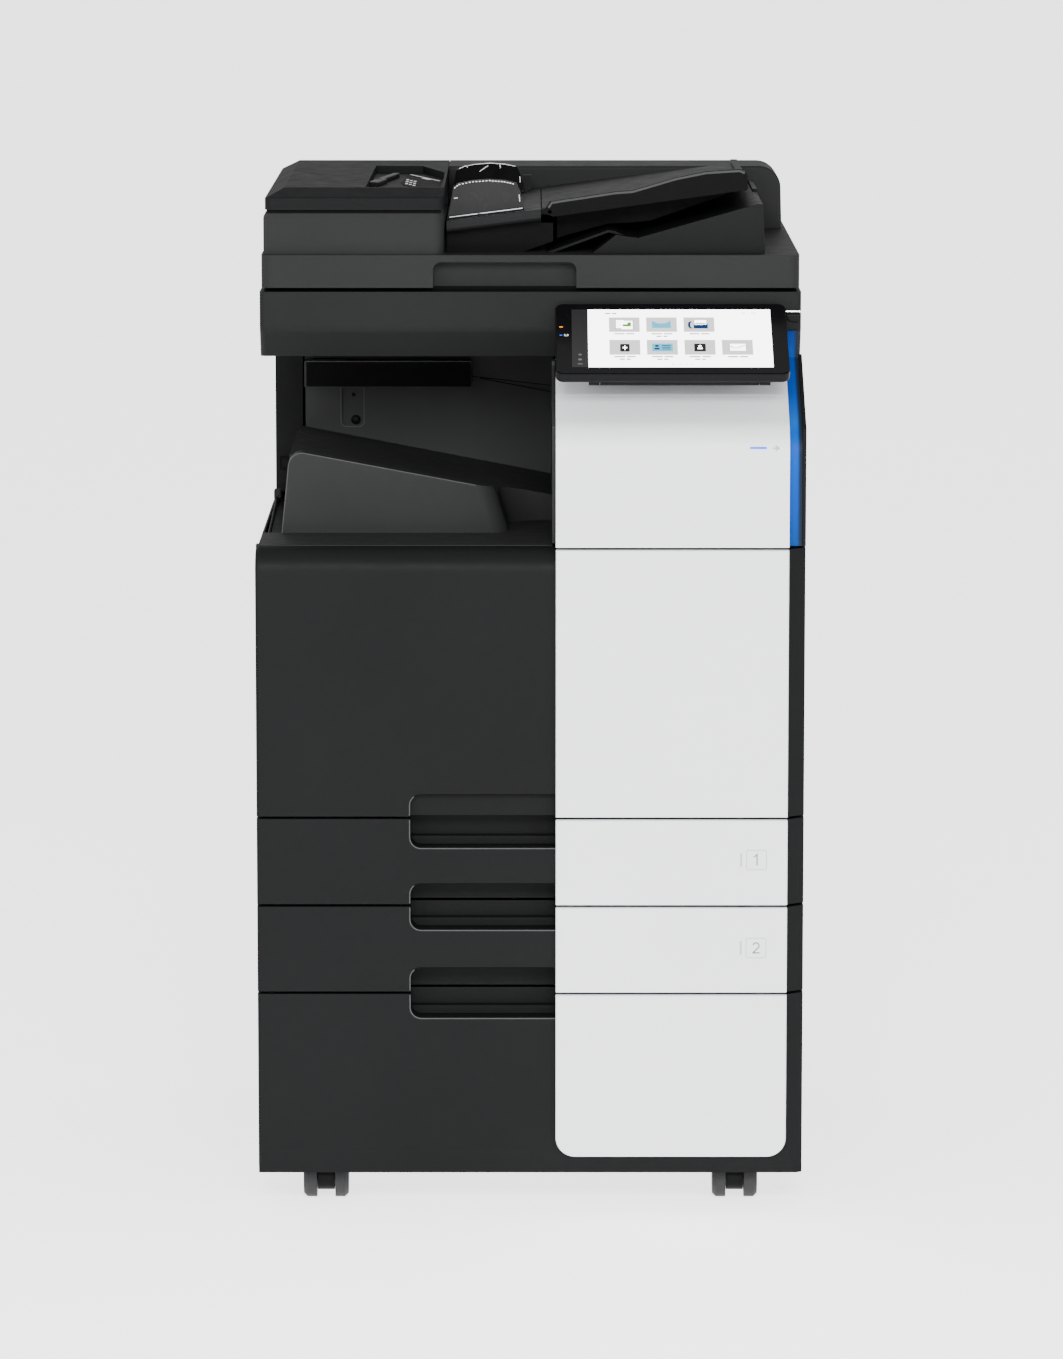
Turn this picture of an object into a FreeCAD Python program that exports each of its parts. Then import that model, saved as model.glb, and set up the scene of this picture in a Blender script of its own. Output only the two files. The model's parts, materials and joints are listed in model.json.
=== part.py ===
import FreeCAD, Part
import os
import Sketcher  # registers the sketch objects with the document

# An A3 office photocopier: a cabinet on casters with a storage drawer, two paper cassettes, the print engine
# behind two front doors, an output bay under the scanner, a tilting touch panel and a document feeder lid.
# Millimetres. +Z is up, the front faces -Y, and the origin is on the floor in the middle of the footprint.

doc = FreeCAD.newDocument("photocopier")
sheet = doc.addObject("Spreadsheet::Sheet", "sizes")


# ---------------------------------------------------------------- driving dimensions

class Size:
    """A number together with the spreadsheet expression that gives it, so that sums keep both."""

    def __init__(self, value, text):
        self.value = float(value)
        self.text = text

    def __add__(self, other):
        other = as_size(other)
        return Size(self.value + other.value, "(%s + %s)" % (self.text, other.text))

    def __sub__(self, other):
        other = as_size(other)
        return Size(self.value - other.value, "(%s - %s)" % (self.text, other.text))

    def __mul__(self, factor):
        return Size(self.value * factor, "(%s * %s)" % (self.text, number(factor)))

    def __truediv__(self, factor):
        return Size(self.value / factor, "(%s / %s)" % (self.text, number(factor)))

    def __neg__(self):
        return Size(-self.value, "(0 - %s)" % self.text)

    def __radd__(self, other):
        return as_size(other) + self

    def __rsub__(self, other):
        return as_size(other) - self


def number(value):
    return "(%.6f)" % value


def as_size(value):
    return value if isinstance(value, Size) else Size(value, number(value))


class Sizes:
    """The driving dimensions by name. Each one is a cell of the spreadsheet."""

    def __init__(self):
        self.row = 0

    def add(self, name, value, meaning):
        self.row += 1
        cell = "B%d" % self.row
        sheet.set("A%d" % self.row, meaning)
        sheet.set(cell, repr(float(value)))
        sheet.setAlias(cell, name)
        setattr(self, name, Size(value, "sizes." + name))


D = Sizes()
for name, value, meaning in [
    # overall planes
    ("side", 307.5, "half of the body's width"),
    ("front", -328.0, "front face of the dark fascias"),
    ("plate_front", -336.0, "front face of the light plates, which stand proud"),
    ("panel_front", -344.81, "foremost edge of the touch panel"),
    ("back", 344.0, "outer face of the rear cover"),
    ("fascia_back", -286.0, "back of the drawer fascias"),
    ("scan_front", -190.0, "front face of the scanner and of the feeder lid"),
    # levels
    ("skirt_bottom", 41.0, "lower edge of the cabinet's skirt"),
    ("base_bottom", 62.0, "underside of the cabinet's base plate"),
    ("cabinet_top", 250.0, "joint between cabinet and main unit"),
    ("tray_joint", 350.0, "joint between the two paper trays"),
    ("door_bottom", 450.0, "joint between the upper tray and the lower door"),
    ("door_top", 755.0, "joint between the doors, and the output bay's ledge"),
    ("left_cover_top", 748.0, "top of the left side cover"),
    ("scan_bottom", 954.5, "underside of the scanner"),
    ("scan_bevel", 986.0, "where the scanner's lower front bevel starts"),
    ("scan_top", 1029.4, "top of the scanner"),
    ("lid_bottom", 1034.0, "underside of the feeder lid"),
    ("lid_top", 1071.0, "top of the feeder lid's base"),
    ("feeder_top", 1121.7, "top of the feeder's body, under its cover"),
    ("cover_bottom", 1122.0, "underside of the feeder cover"),
    ("top", 1145.0, "top of the feeder cover and of the lid's rear wall"),
    # shared details
    ("half_gap", 1.5, "half of the gap between two front panels"),
    ("wall", 3.0, "wall of the plastic covers"),
    ("sheet_metal", 3.0, "folded steel plates"),
    ("plate_left", 28.5, "left edge of the light plates"),
    ("plate_right", 288.5, "right edge of the light plates"),
    ("plate_corner", 22.0, "lower corners of the drawer's light plate"),
    ("plate_edge", 2.0, "edge rounding of the light plates"),
    ("fascia_edge", 4.0, "edge rounding of the dark fascias"),
    ("grip_left", -135.0, "left end of the finger recesses"),
    ("grip_depth", 40.0, "depth of the finger recesses"),
    ("grip_corner", 12.0, "corner radius of the finger recesses"),
    ("grip_top_1", 476.0, "top of the upper recess"),
    ("grip_low_1", 415.6, "bottom of the upper recess"),
    ("grip_top_2", 374.6, "top of the middle recess"),
    ("grip_low_2", 322.0, "bottom of the middle recess"),
    ("grip_top_3", 278.4, "top of the lower recess"),
    ("grip_low_3", 221.0, "bottom of the lower recess"),
    # casters
    ("caster_x", 233.0, "caster swivel axis from the middle"),
    ("caster_front", -245.0, "swivel axis of the front casters"),
    ("caster_rear", 280.0, "swivel axis of the rear casters"),
    ("wheel_radius", 24.0, "caster wheel"),
    ("wheel_width", 15.0, "caster wheel"),
    ("wheel_gap", 21.0, "between the two wheels of a caster"),
    ("trail", 16.0, "axle from the swivel axis"),
    ("axle_radius", 4.0, "caster axle"),
    ("stem_radius", 5.0, "caster stem"),
    # moving fits
    ("running_gap", 0.1, "radial clearance of pins and shafts"),
    # doors
    ("pivot_inset", 5.5, "door pivot from the light plate's face and lower edge"),
    ("door_pin", 1.5, "radius of the door pins"),
    ("kink_z", 884.0, "where the upper door starts to lean back"),
    ("lean", 0.548, "rise of the shoulder for each millimetre back"),
    ("door_lean_depth", 66.0, "how far back the upper door's leaning part goes"),
    # touch panel
    ("panel_left", 28.0, "left edge"),
    ("panel_right", 288.0, "right edge"),
    ("panel_length", 158.0, "front edge to rear edge"),
    ("panel_thickness", 14.0, "housing and glass"),
    ("panel_edge_z", 953.0, "height of the glass at the front edge"),
    ("panel_pin_y", -318.0, "tilt axis"),
    ("panel_pin_z", 942.5, "tilt axis"),
    ("panel_pin", 3.0, "radius of the tilt pin"),
    # output bay
    ("bay_right", 24.5, "right wall of the bay"),
    ("bay_back", 145.0, "rear wall of the bay"),
    ("tray_front", -190.0, "front wall of the output tray"),
    # feeder
    ("feeder_left", -302.0, "left side of the feeder body"),
    ("feeder_right", -97.5, "right side of the feeder body"),
    ("feeder_front", -182.0, "front face of the feeder body"),
    ("lid_hinge_y", 318.0, "lid hinge axis"),
    ("lid_hinge_z", 1046.0, "lid hinge axis"),
    ("lid_back", 326.0, "rear of the lid"),
    ("cover_pivot_x", -292.0, "hinge of the feeder cover"),
    ("cover_pivot_z", 1111.7, "hinge of the feeder cover"),
    ("feed_slope", 0.124, "rise of the document tray to the right"),
]:
    D.add(name, value, meaning)
doc.recompute()


# ---------------------------------------------------------------- building blocks

NODES = []  # every finished sub-part, in the order they are made
IN_PLANE = {"XY": ("X", "Y", "Z"), "XZ": ("X", "Z", "Y"), "YZ": ("Y", "Z", "X")}


def bind(thing, path, size):
    """Sets a property from the spreadsheet."""
    thing.setExpression(path, as_size(size).text)


def node(thing, label):
    """Marks an object as a finished sub-part. Its label is the name of its file."""
    thing.Label = label
    NODES.append(thing)
    return thing


def box(name, x, y, z):
    """A block between two corners, each given as (low, high)."""
    made = doc.addObject("Part::Box", name)
    for side, axis, (low, high) in zip(("Length", "Width", "Height"), "xyz", (x, y, z)):
        low, high = as_size(low), as_size(high)
        bind(made, side, high - low)
        bind(made, "Placement.Base." + axis, low)
    return made


TURNS = {
    "X": FreeCAD.Rotation(FreeCAD.Vector(0, 1, 0), 90),
    "Y": FreeCAD.Rotation(FreeCAD.Vector(1, 0, 0), -90),
    "Z": FreeCAD.Rotation(),
}


def rod(name, axis, start, length, radius):
    """A cylinder that runs from start along +X, +Y or +Z."""
    made = doc.addObject("Part::Cylinder", name)
    made.Placement = FreeCAD.Placement(FreeCAD.Vector(), TURNS[axis])
    bind(made, "Radius", radius)
    bind(made, "Height", length)
    for letter, value in zip("xyz", start):
        bind(made, "Placement.Base." + letter, value)
    return made


def fuse(name, *pieces):
    made = doc.addObject("Part::MultiFuse", name)
    made.Shapes = list(pieces)
    made.Refine = True
    return made


def cut(name, base, *tools):
    made = doc.addObject("Part::Cut", name)
    made.Base = base
    made.Tool = tools[0] if len(tools) == 1 else fuse(name + "_cutter", *tools)
    made.Refine = True
    return made


def group(name, *pieces):
    """Separate solids that share one node."""
    made = doc.addObject("Part::Compound", name)
    made.Links = list(pieces)
    return made


def outline(body, name, plane, points, level):
    """A closed polygon sketch on one of the body's own planes, held by two distances at each corner."""
    sketch = body.newObject("Sketcher::SketchObject", name)
    role = plane + "_Plane"
    origin_plane = [f for f in body.Origin.OriginFeatures if f.Role == role][0]
    sketch.AttachmentSupport = (origin_plane, [""])
    sketch.MapMode = "FlatFace"
    bind(sketch, "AttachmentOffset.Base.z", level)
    points = [(as_size(u), as_size(v)) for u, v in points]
    spots = [FreeCAD.Vector(u.value, v.value, 0) for u, v in points]
    count = len(points)
    sketch.addGeometry([Part.LineSegment(spots[i], spots[(i + 1) % count]) for i in range(count)], False)
    constraints = [Sketcher.Constraint("Coincident", i, 2, (i + 1) % count, 1) for i in range(count)]
    for i, (u, v) in enumerate(points):
        constraints.append(Sketcher.Constraint("DistanceX", -1, 1, i, 1, u.value))
        constraints.append(Sketcher.Constraint("DistanceY", -1, 1, i, 1, v.value))
    sketch.addConstraint(constraints)
    for i, (u, v) in enumerate(points):
        sketch.setExpression("Constraints[%d]" % (count + 2 * i), u.text)
        sketch.setExpression("Constraints[%d]" % (count + 2 * i + 1), v.text)
    return sketch


def prism(name, plane, points, low, high):
    """A body padded from a polygon in the plane, between two levels of the third axis."""
    body = doc.addObject("PartDesign::Body", name)
    low, high = as_size(low), as_size(high)
    # the XZ plane's normal is -Y, so its sketch sits at the high level and pads towards the low one
    level = -high if plane == "XZ" else low
    sketch = outline(body, name + "_outline", plane, points, level)
    pad = body.newObject("PartDesign::Pad", name + "_pad")
    pad.Profile = sketch
    bind(pad, "Length", high - low)
    doc.recompute()
    return body


def rectangle(u, v):
    return [(u[0], v[0]), (u[1], v[0]), (u[1], v[1]), (u[0], v[1])]


def pocket(body, name, plane, points, low, high):
    """Cuts the polygon out of the body between two levels of the third axis."""
    low, high = as_size(low), as_size(high)
    before = body.Shape.Volume
    level = -high if plane == "XZ" else low
    sketch = outline(body, name + "_outline", plane, points, level)
    made = body.newObject("PartDesign::Pocket", name)
    made.Profile = sketch
    bind(made, "Length", high - low)
    made.Reversed = True
    doc.recompute()
    if body.Shape.Volume > before - 1.0:
        raise RuntimeError(name + " cuts nothing")
    return made


def edges_near(shape, test):
    """Names of the edges whose ends and middle all pass the test."""
    found = []
    for index, edge in enumerate(shape.Edges, 1):
        middle = edge.valueAt((edge.FirstParameter + edge.LastParameter) / 2)
        spots = [v.Point for v in edge.Vertexes] + [middle]
        if all(test(p.x, p.y, p.z) for p in spots):
            found.append("Edge%d" % index)
    return found


def rounded(body, name, radius, test):
    """Rounds the body's edges that pass the test."""
    base = body.Tip
    names = edges_near(base.Shape, test)
    if not names:
        raise RuntimeError(name + " finds no edge")
    made = body.newObject("PartDesign::Fillet", name)
    made.Base = (base, names)
    bind(made, "Radius", radius)
    doc.recompute()
    return made


def near(a, b, room=0.05):
    return abs(a - as_size(b).value) < room


def revolve(name, points):
    """A body turned about the X axis from a polygon of (x, radius)."""
    body = doc.addObject("PartDesign::Body", name)
    sketch = outline(body, name + "_outline", "XY", points, 0)
    made = body.newObject("PartDesign::Revolution", name + "_turned")
    made.Profile = sketch
    made.ReferenceAxis = (sketch, ["H_Axis"])
    made.Angle = 360
    doc.recompute()
    return body


# ---------------------------------------------------------------- casters

def caster(label, x, y):
    """A twin-wheel swivel caster: a housing on a stem, and two wheels on one axle."""
    axle_y = y - D.trail
    hub_half = (D.wheel_gap - 2) / 2
    hub_radius, disc_radius, disc_height = 16.0, 19.0, 7.0
    disc_low = D.base_bottom - disc_height - 0.5
    hub = rod(label + "_hub", "X", (x - hub_half, axle_y, D.wheel_radius), hub_half * 2, hub_radius)
    neck = box(label + "_neck", (x - hub_half, x + hub_half), (axle_y - 14, y + 12),
               (D.wheel_radius + 4, disc_low))
    disc = rod(label + "_disc", "Z", (x, y, disc_low), disc_height, disc_radius)
    stem = rod(label + "_stem", "Z", (x, y, disc_low + disc_height), 14, D.stem_radius)
    bore = rod(label + "_bore", "X", (x - 30, axle_y, D.wheel_radius), 60, D.axle_radius + D.running_gap)
    solid = fuse(label + "_solid", hub, neck, disc, stem)
    node(cut(label + "_housing_body", solid, bore), label + "_housing")

    wheels = []
    for side in (-1, 1):
        inner = D.wheel_gap / 2
        crown = 4.0
        profile = [
            (inner, D.axle_radius),
            (inner + D.wheel_width, D.axle_radius),
            (inner + D.wheel_width, D.wheel_radius - crown),
            (inner + D.wheel_width - crown, D.wheel_radius),
            (inner, D.wheel_radius),
        ]
        wheel = revolve("%s_wheel_%s" % (label, "left" if side < 0 else "right"), profile)
        rounded(wheel, wheel.Name + "_tread", 2.5, lambda px, py, pz: near(
            (py * py + pz * pz) ** 0.5, D.wheel_radius) and px > inner.value + 1)
        if side < 0:
            wheel.Placement.Rotation = FreeCAD.Rotation(FreeCAD.Vector(0, 0, 1), 180)
        for letter, value in zip("xyz", (x, axle_y, D.wheel_radius)):
            bind(wheel, "Placement.Base." + letter, value)
        wheels.append(wheel)
    reach = D.wheel_gap / 2 + D.wheel_width - 1
    axle = rod(label + "_axle", "X", (x - reach, axle_y, D.wheel_radius), reach * 2, D.axle_radius)
    node(group(label + "_wheel_group", *wheels, axle), label + "_wheels")


CASTERS = [
    ("caster_front_left", -D.caster_x, D.caster_front),
    ("caster_front_right", D.caster_x, D.caster_front),
    ("caster_rear_left", -D.caster_x, D.caster_rear),
    ("caster_rear_right", D.caster_x, D.caster_rear),
]
for label, swivel_x, swivel_y in CASTERS:
    caster(label, swivel_x, swivel_y)


# ---------------------------------------------------------------- cabinet

FRAME_HALF = 300.0  # outer half width of the steel frames
FRAME_FRONT = -284.0
FRAME_BACK = 338.0
RUNNER_INNER = 254.0  # the drawers' runners reach in this far


def runners(name, level, left, right):
    """A pair of steel runners that a drawer's side flanges slide on."""
    found = []
    for side, low, high in (("left", left, -RUNNER_INNER), ("right", RUNNER_INNER, right)):
        found.append(box("%s_%s" % (name, side), (low, high), (FRAME_FRONT, 236), (level - 4, level)))
    return found


def cabinet_frame():
    plate_top = D.base_bottom + 4
    post = 24.0
    plate = box("base_plate", (-FRAME_HALF, FRAME_HALF), (FRAME_FRONT, FRAME_BACK),
                (D.base_bottom, plate_top))
    posts = []
    for x_low in (-FRAME_HALF, FRAME_HALF - post):
        for y_low in (FRAME_FRONT, FRAME_BACK - post):
            posts.append(box("post", (x_low, x_low + post), (y_low, y_low + post),
                             (plate_top, D.cabinet_top)))
    rails = runners("drawer_runner", 110, 1 - FRAME_HALF, FRAME_HALF - 1)
    solid = fuse("cabinet_frame_solid", plate, *posts, *rails)
    bores = [
        rod("stem_bore", "Z", (x, y, D.base_bottom - 2), 8, D.stem_radius + D.running_gap)
        for _, x, y in CASTERS
    ]
    node(cut("cabinet_frame_body", solid, *bores), "cabinet_frame")


cabinet_frame()


# ---------------------------------------------------------------- drawers

FLANGE = 3.0


def drawer(label, low, high, grip_low, grip_top, skirt=False):
    """A fascia with finger recesses, a light plate on it, and the bin behind it."""
    z_low = low if skirt else low + D.half_gap
    z_high = high - D.half_gap
    chamfer_x = D.plate_right + 2
    plan = [
        (-D.side, D.fascia_back), (-D.side, D.front), (chamfer_x, D.front),
        (D.side, D.front + 12), (D.side, D.fascia_back),
    ]
    fascia = prism(label + "_fascia", "XY", plan, z_low, z_high)
    rounded(fascia, label + "_fascia_edge", D.fascia_edge,
            lambda x, y, z: near(x, -D.side) and near(y, D.front))
    grip_back = D.front + D.grip_depth
    grip_right = D.plate_left + 12
    pocket(fascia, label + "_grip", "XZ", rectangle((D.grip_left, grip_right), (grip_low, z_high + 1)),
           D.front - 1, grip_back)
    rounded(fascia, label + "_grip_corner", D.grip_corner,
            lambda x, y, z: near(x, D.grip_left) and near(z, grip_low))
    if grip_top is not None:
        under_grip = rectangle((D.grip_left, grip_right), (z_low - 1, grip_top))
        pocket(fascia, label + "_under_grip", "XZ", under_grip, D.front - 1, grip_back)
        rounded(fascia, label + "_under_corner", D.grip_corner,
                lambda x, y, z: near(x, D.grip_left) and near(z, grip_top))
    if skirt:
        bevel_high, bevel_deep = 32.0, 8.0
        wedge = [(D.front - 1, z_low - 1), (D.front + bevel_deep, z_low - 1),
                 (D.front - 1, z_low + bevel_high)]
        pocket(fascia, label + "_bevel", "YZ", wedge, -D.side - 1, D.side + 1)
    node(fascia, label + "_front")

    plate_low = D.base_bottom + 0.5 if skirt else z_low
    plate = prism(label + "_plate_body", "XZ", rectangle((D.plate_left, D.plate_right), (plate_low, z_high)),
                  D.plate_front, D.front)
    if skirt:
        rounded(plate, label + "_plate_corner", D.plate_corner,
                lambda x, y, z: near(z, plate_low) and (near(x, D.plate_left) or near(x, D.plate_right)))
    rounded(plate, label + "_plate_edge", D.plate_edge, lambda x, y, z: near(y, D.plate_front))
    node(plate, label + "_plate")


def bin_of(label, half_width, low, high, back, flange_level, lift_floor=None):
    """The open box behind a fascia, with a flange on each side that rides on the runners."""
    thick = 2.5
    outer = box(label + "_outer", (-half_width, half_width), (D.fascia_back, back), (low, high))
    inner = box(label + "_inner", (-half_width + thick, half_width - thick),
                (D.fascia_back + thick, back - thick), (low + thick, high + 1))
    reach = half_width + 12
    left = box(label + "_left_flange", (-reach, -half_width), (D.fascia_back, back),
               (flange_level, flange_level + FLANGE))
    right = box(label + "_right_flange", (half_width, reach), (D.fascia_back, back),
                (flange_level, flange_level + FLANGE))
    solid = fuse(label + "_solid", cut(label + "_shell", outer, inner), left, right)
    if lift_floor is None:
        node(solid, label)
        return
    ears = [box(label + "_ear", (LIFT_LEFT - 7, LIFT_LEFT + 7), (y, y + 6),
                (low + thick - 1, lift_floor + 11))
            for y in (-158, 152)]
    bore = rod(label + "_ear_bore", "Y", (LIFT_LEFT, -160, lift_floor + 6), 320, 3 + D.running_gap)
    node(cut(label + "_body", fuse(label + "_eared", solid, *ears), bore), label)


LIFT_LEFT = -215.0  # axis of the paper lift plates


def lift_plate(label, floor):
    """The steel plate that raises the paper. It turns about its left edge."""
    thick, left, right = 1.5, LIFT_LEFT, 190.0
    bar = rod(label + "_bar", "Y", (left, -156, floor + 6), 312, 3)
    plate = box(label + "_sheet", (left, right), (-140, 140), (floor + 6 - thick / 2, floor + 6 + thick / 2))
    node(fuse(label + "_body", bar, plate), label)


drawer("storage_drawer", D.skirt_bottom, D.cabinet_top, D.grip_low_3, None, skirt=True)
bin_of("storage_drawer_box", 250.0, 80.0, 225.0, 230.0, 110.3)
drawer("tray_2", D.cabinet_top, D.tray_joint, D.grip_low_2, D.grip_top_3)
bin_of("tray_2_box", 250.0, 262.0, 332.0, 230.0, 280.3, 264.5)
lift_plate("tray_2_lift_plate", 264.5)
drawer("tray_1", D.tray_joint, D.door_bottom, D.grip_low_1, D.grip_top_2)
bin_of("tray_1_box", 250.0, 362.0, 432.0, 230.0, 380.3, 364.5)
lift_plate("tray_1_lift_plate", 364.5)


# ---------------------------------------------------------------- main frame and covers

COLUMN_LEFT = 30.0  # the steel plate inside the right column's left wall
SIDE_AXIS_X, SIDE_AXIS_Y = 299.5, 233.0  # hinge of the side door
SIDE_TOP = 910.0  # top of the side door
BYPASS_X, BYPASS_Z = 304.3, 506.0  # hinge of the bypass tray
PANEL_HALF_PLATE = 287.0  # inner side of the frame's right plate


def main_frame():
    t = D.sheet_metal
    left = box("frame_left", (-FRAME_HALF - 4, -FRAME_HALF - 1), (FRAME_FRONT, FRAME_BACK),
               (D.cabinet_top, 735))
    left_ledge = box("frame_left_foot", (-FRAME_HALF - 1, -FRAME_HALF + 10), (FRAME_FRONT, FRAME_BACK),
                     (D.cabinet_top, D.cabinet_top + 3))
    right = box("frame_right", (PANEL_HALF_PLATE, PANEL_HALF_PLATE + 3), (FRAME_FRONT, FRAME_BACK),
                (D.cabinet_top, D.scan_bottom))
    right_ledge = box("frame_right_foot", (PANEL_HALF_PLATE - 10, PANEL_HALF_PLATE),
                      (FRAME_FRONT, FRAME_BACK),
                      (D.cabinet_top, D.cabinet_top + 3))
    rear = box("frame_rear", (-FRAME_HALF - 1, PANEL_HALF_PLATE), (256, 259), (D.cabinet_top, 735))
    rear_top = box("frame_rear_top", (-266.5, PANEL_HALF_PLATE), (256, 259), (735, D.scan_bottom))
    deck = box("frame_deck", (-FRAME_HALF - 1, PANEL_HALF_PLATE), (FRAME_FRONT, 256), (451, 454))
    front = box("frame_front", (-FRAME_HALF - 1, PANEL_HALF_PLATE), (FRAME_FRONT, FRAME_FRONT + t),
                (454, 735))
    roof = box("frame_roof", (-FRAME_HALF - 1, PANEL_HALF_PLATE), (FRAME_FRONT, 256), (732, 735))
    column = box("frame_column", (COLUMN_LEFT, COLUMN_LEFT + 3), (-186, 256), (735, D.scan_bottom))
    rails = []
    for name, level in (("tray_2_runner", 280), ("tray_1_runner", 380)):
        rails += runners(name, level, -FRAME_HALF - 2, PANEL_HALF_PLATE + 1)
    shelf = box("toner_shelf", (COLUMN_LEFT, PANEL_HALF_PLATE + 1), (FRAME_FRONT, 60), (764, 767))
    pins = []
    for name, bracket_low, pin_low in (("low", 447, 449), ("top", SIDE_TOP + 3, SIDE_TOP - 17)):
        pins.append(box("side_bracket_" + name, (PANEL_HALF_PLATE + 2, SIDE_AXIS_X + 3.7),
                        (SIDE_AXIS_Y - 6, SIDE_AXIS_Y + 6), (bracket_low, bracket_low + 4)))
        pins.append(rod("side_pin_" + name, "Z", (SIDE_AXIS_X, SIDE_AXIS_Y, pin_low), 22, 3))
    solid = fuse("main_frame_solid", left, left_ledge, right, right_ledge, rear, rear_top, deck, front,
                 roof, column,
                 shelf, *rails, *pins)
    engine_window = box("engine_window", (-225, 205), (FRAME_FRONT - 1, FRAME_FRONT + 4), (560, 700))
    paper_window = box("paper_window", (PANEL_HALF_PLATE - 1, PANEL_HALF_PLATE + 4), (-180, 180), (470, 900))
    exit_window = box("exit_window", (COLUMN_LEFT - 1, COLUMN_LEFT + 4), (-170, 145), (850, 896))
    shoulder_room = box("shoulder_room", (PANEL_HALF_PLATE - 1, PANEL_HALF_PLATE + 4),
                        (FRAME_FRONT - 1, -168),
                        (D.door_top - 5, D.scan_bottom + 1))
    node(cut("main_frame_body", solid, engine_window, paper_window, exit_window, shoulder_room),
         "main_frame")


def side_covers():
    t = D.wall
    inner = D.side - t
    back = D.back - t
    lower_left = box("cabinet_left_cover", (-D.side, -inner), (D.fascia_back + 2, back),
                     (D.skirt_bottom, D.cabinet_top - 0.5))
    upper_left = box("main_left_cover", (-D.side, -inner), (D.fascia_back + 2, back),
                     (D.cabinet_top + 0.5, D.left_cover_top))
    node(group("left_cover_pair", lower_left, upper_left), "left_covers")

    lower_right = box("cabinet_right_cover", (inner, D.side), (D.fascia_back + 2, back),
                      (D.skirt_bottom, D.cabinet_top - 0.5))
    # the upper right cover follows the leaning shoulder, and is cut out for the side door
    shoulder_z = D.kink_z + (D.scan_front - D.plate_front) * D.lean.value
    profile = [
        (D.fascia_back + 2, D.cabinet_top + 0.5), (D.fascia_back + 2, D.door_top + D.half_gap),
        (D.front + 4, D.door_top + D.half_gap), (D.front + 4, D.kink_z + 4),
        (D.scan_front + 4, shoulder_z + 4 - 9), (D.scan_front + 4, D.scan_bottom),
        (back, D.scan_bottom), (back, D.cabinet_top + 0.5),
    ]
    upper_right = prism("main_right_cover", "YZ", profile, D.side - 4, D.side)
    pocket(upper_right, "side_door_opening", "YZ", rectangle((-242, 242), (455, SIDE_TOP + 2)),
           D.side - 5, D.side + 1)
    node(group("right_cover_pair", lower_right, upper_right), "right_covers")


def rear_cover():
    t = D.wall
    plate = box("rear_plate", (-D.side, D.side), (D.back - t, D.back), (D.skirt_bottom + 4, 1024))
    column = box("rear_column_outer", (-D.side, -274.5), (261, D.back - t),
                 (D.left_cover_top + 0.5, D.scan_bottom))
    hollow = box("rear_column_inner", (-D.side + t, -FRAME_HALF + 22.5), (264, D.back - t),
                 (D.left_cover_top - 1, D.scan_bottom - t))
    slots = [box("rear_vent", (x, x + 60), (D.back - t - 1, D.back + 1), (z, z + 4))
             for x in (-220, 120) for z in range(560, 680, 10)]
    inlet_hole = box("inlet_hole", (-240, -206), (D.back - t - 1, D.back + 1), (300, 328))
    shell = cut("rear_column_shell", column, hollow)
    joined = fuse("rear_cover_solid", plate, shell)
    node(cut("rear_cover_body", joined, inlet_hole, *slots), "rear_cover")

    socket = box("inlet_block", (-239.7, -206.3), (D.back - 28, D.back - 0.5), (300.3, 327.7))
    mouth = box("inlet_mouth", (-236, -210), (D.back - 20, D.back + 1), (304, 324))
    pins = [rod("inlet_pin", "Y", (x, D.back - 20, z), 14, 1.8) for x,
            z in ((-230, 312), (-223, 317), (-216, 312))]
    node(fuse("power_inlet_body", cut("inlet_shell", socket, mouth), *pins), "power_inlet")


main_frame()
side_covers()
rear_cover()


# ---------------------------------------------------------------- doors

EAR_HALF = 2.0  # half the thickness of the fixed hinge ears
EAR_RADIUS = 3.5
EARS_X = (62.0, 254.0)
PIN_HALF = 14.0


def hinge_ears(name, axis_z, back):
    """Fixed ears that reach forward to a door's pivot, and the pins that they hold."""
    axis_y = D.plate_front + D.pivot_inset
    ears, pins = [], []
    for x in EARS_X:
        bar = box(name + "_bar", (x - EAR_HALF, x + EAR_HALF), (axis_y, back),
                  (axis_z - EAR_RADIUS, axis_z + EAR_RADIUS))
        tip = rod(name + "_tip", "X", (x - EAR_HALF, axis_y, axis_z), 2 * EAR_HALF, EAR_RADIUS)
        bore = rod(name + "_bore", "X", (x - EAR_HALF - 1, axis_y, axis_z), 2 * EAR_HALF + 2, D.door_pin)
        ears.append(cut(name + "_ear", fuse(name + "_ear_solid", bar, tip), bore))
        pins.append(rod(name + "_pin", "X", (x - PIN_HALF, axis_y, axis_z), 2 * PIN_HALF, D.door_pin))
    return ears, pins


def pivot_cuts(name, axis_z, low, back):
    """What a door loses at its hinge: a slot for each ear, and a bore for each pin."""
    axis_y = D.plate_front + D.pivot_inset
    slot_half = EAR_HALF + 0.6
    found = []
    for x in EARS_X:
        found.append(box(name + "_slot", (x - slot_half, x + slot_half), (axis_y - EAR_RADIUS - 0.5, back),
                         (low - 1, axis_z + EAR_RADIUS + 0.7)))
        found.append(rod(name + "_pin_bore", "X", (x - PIN_HALF - 0.5, axis_y, axis_z), 2 * PIN_HALF + 1,
                         D.door_pin + D.running_gap))
    return found


DOOR_DEPTH = 28.0
LOWER_AXIS_Z = D.door_bottom + D.half_gap + D.pivot_inset
UPPER_AXIS_Z = D.door_top + D.half_gap + D.pivot_inset


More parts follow.
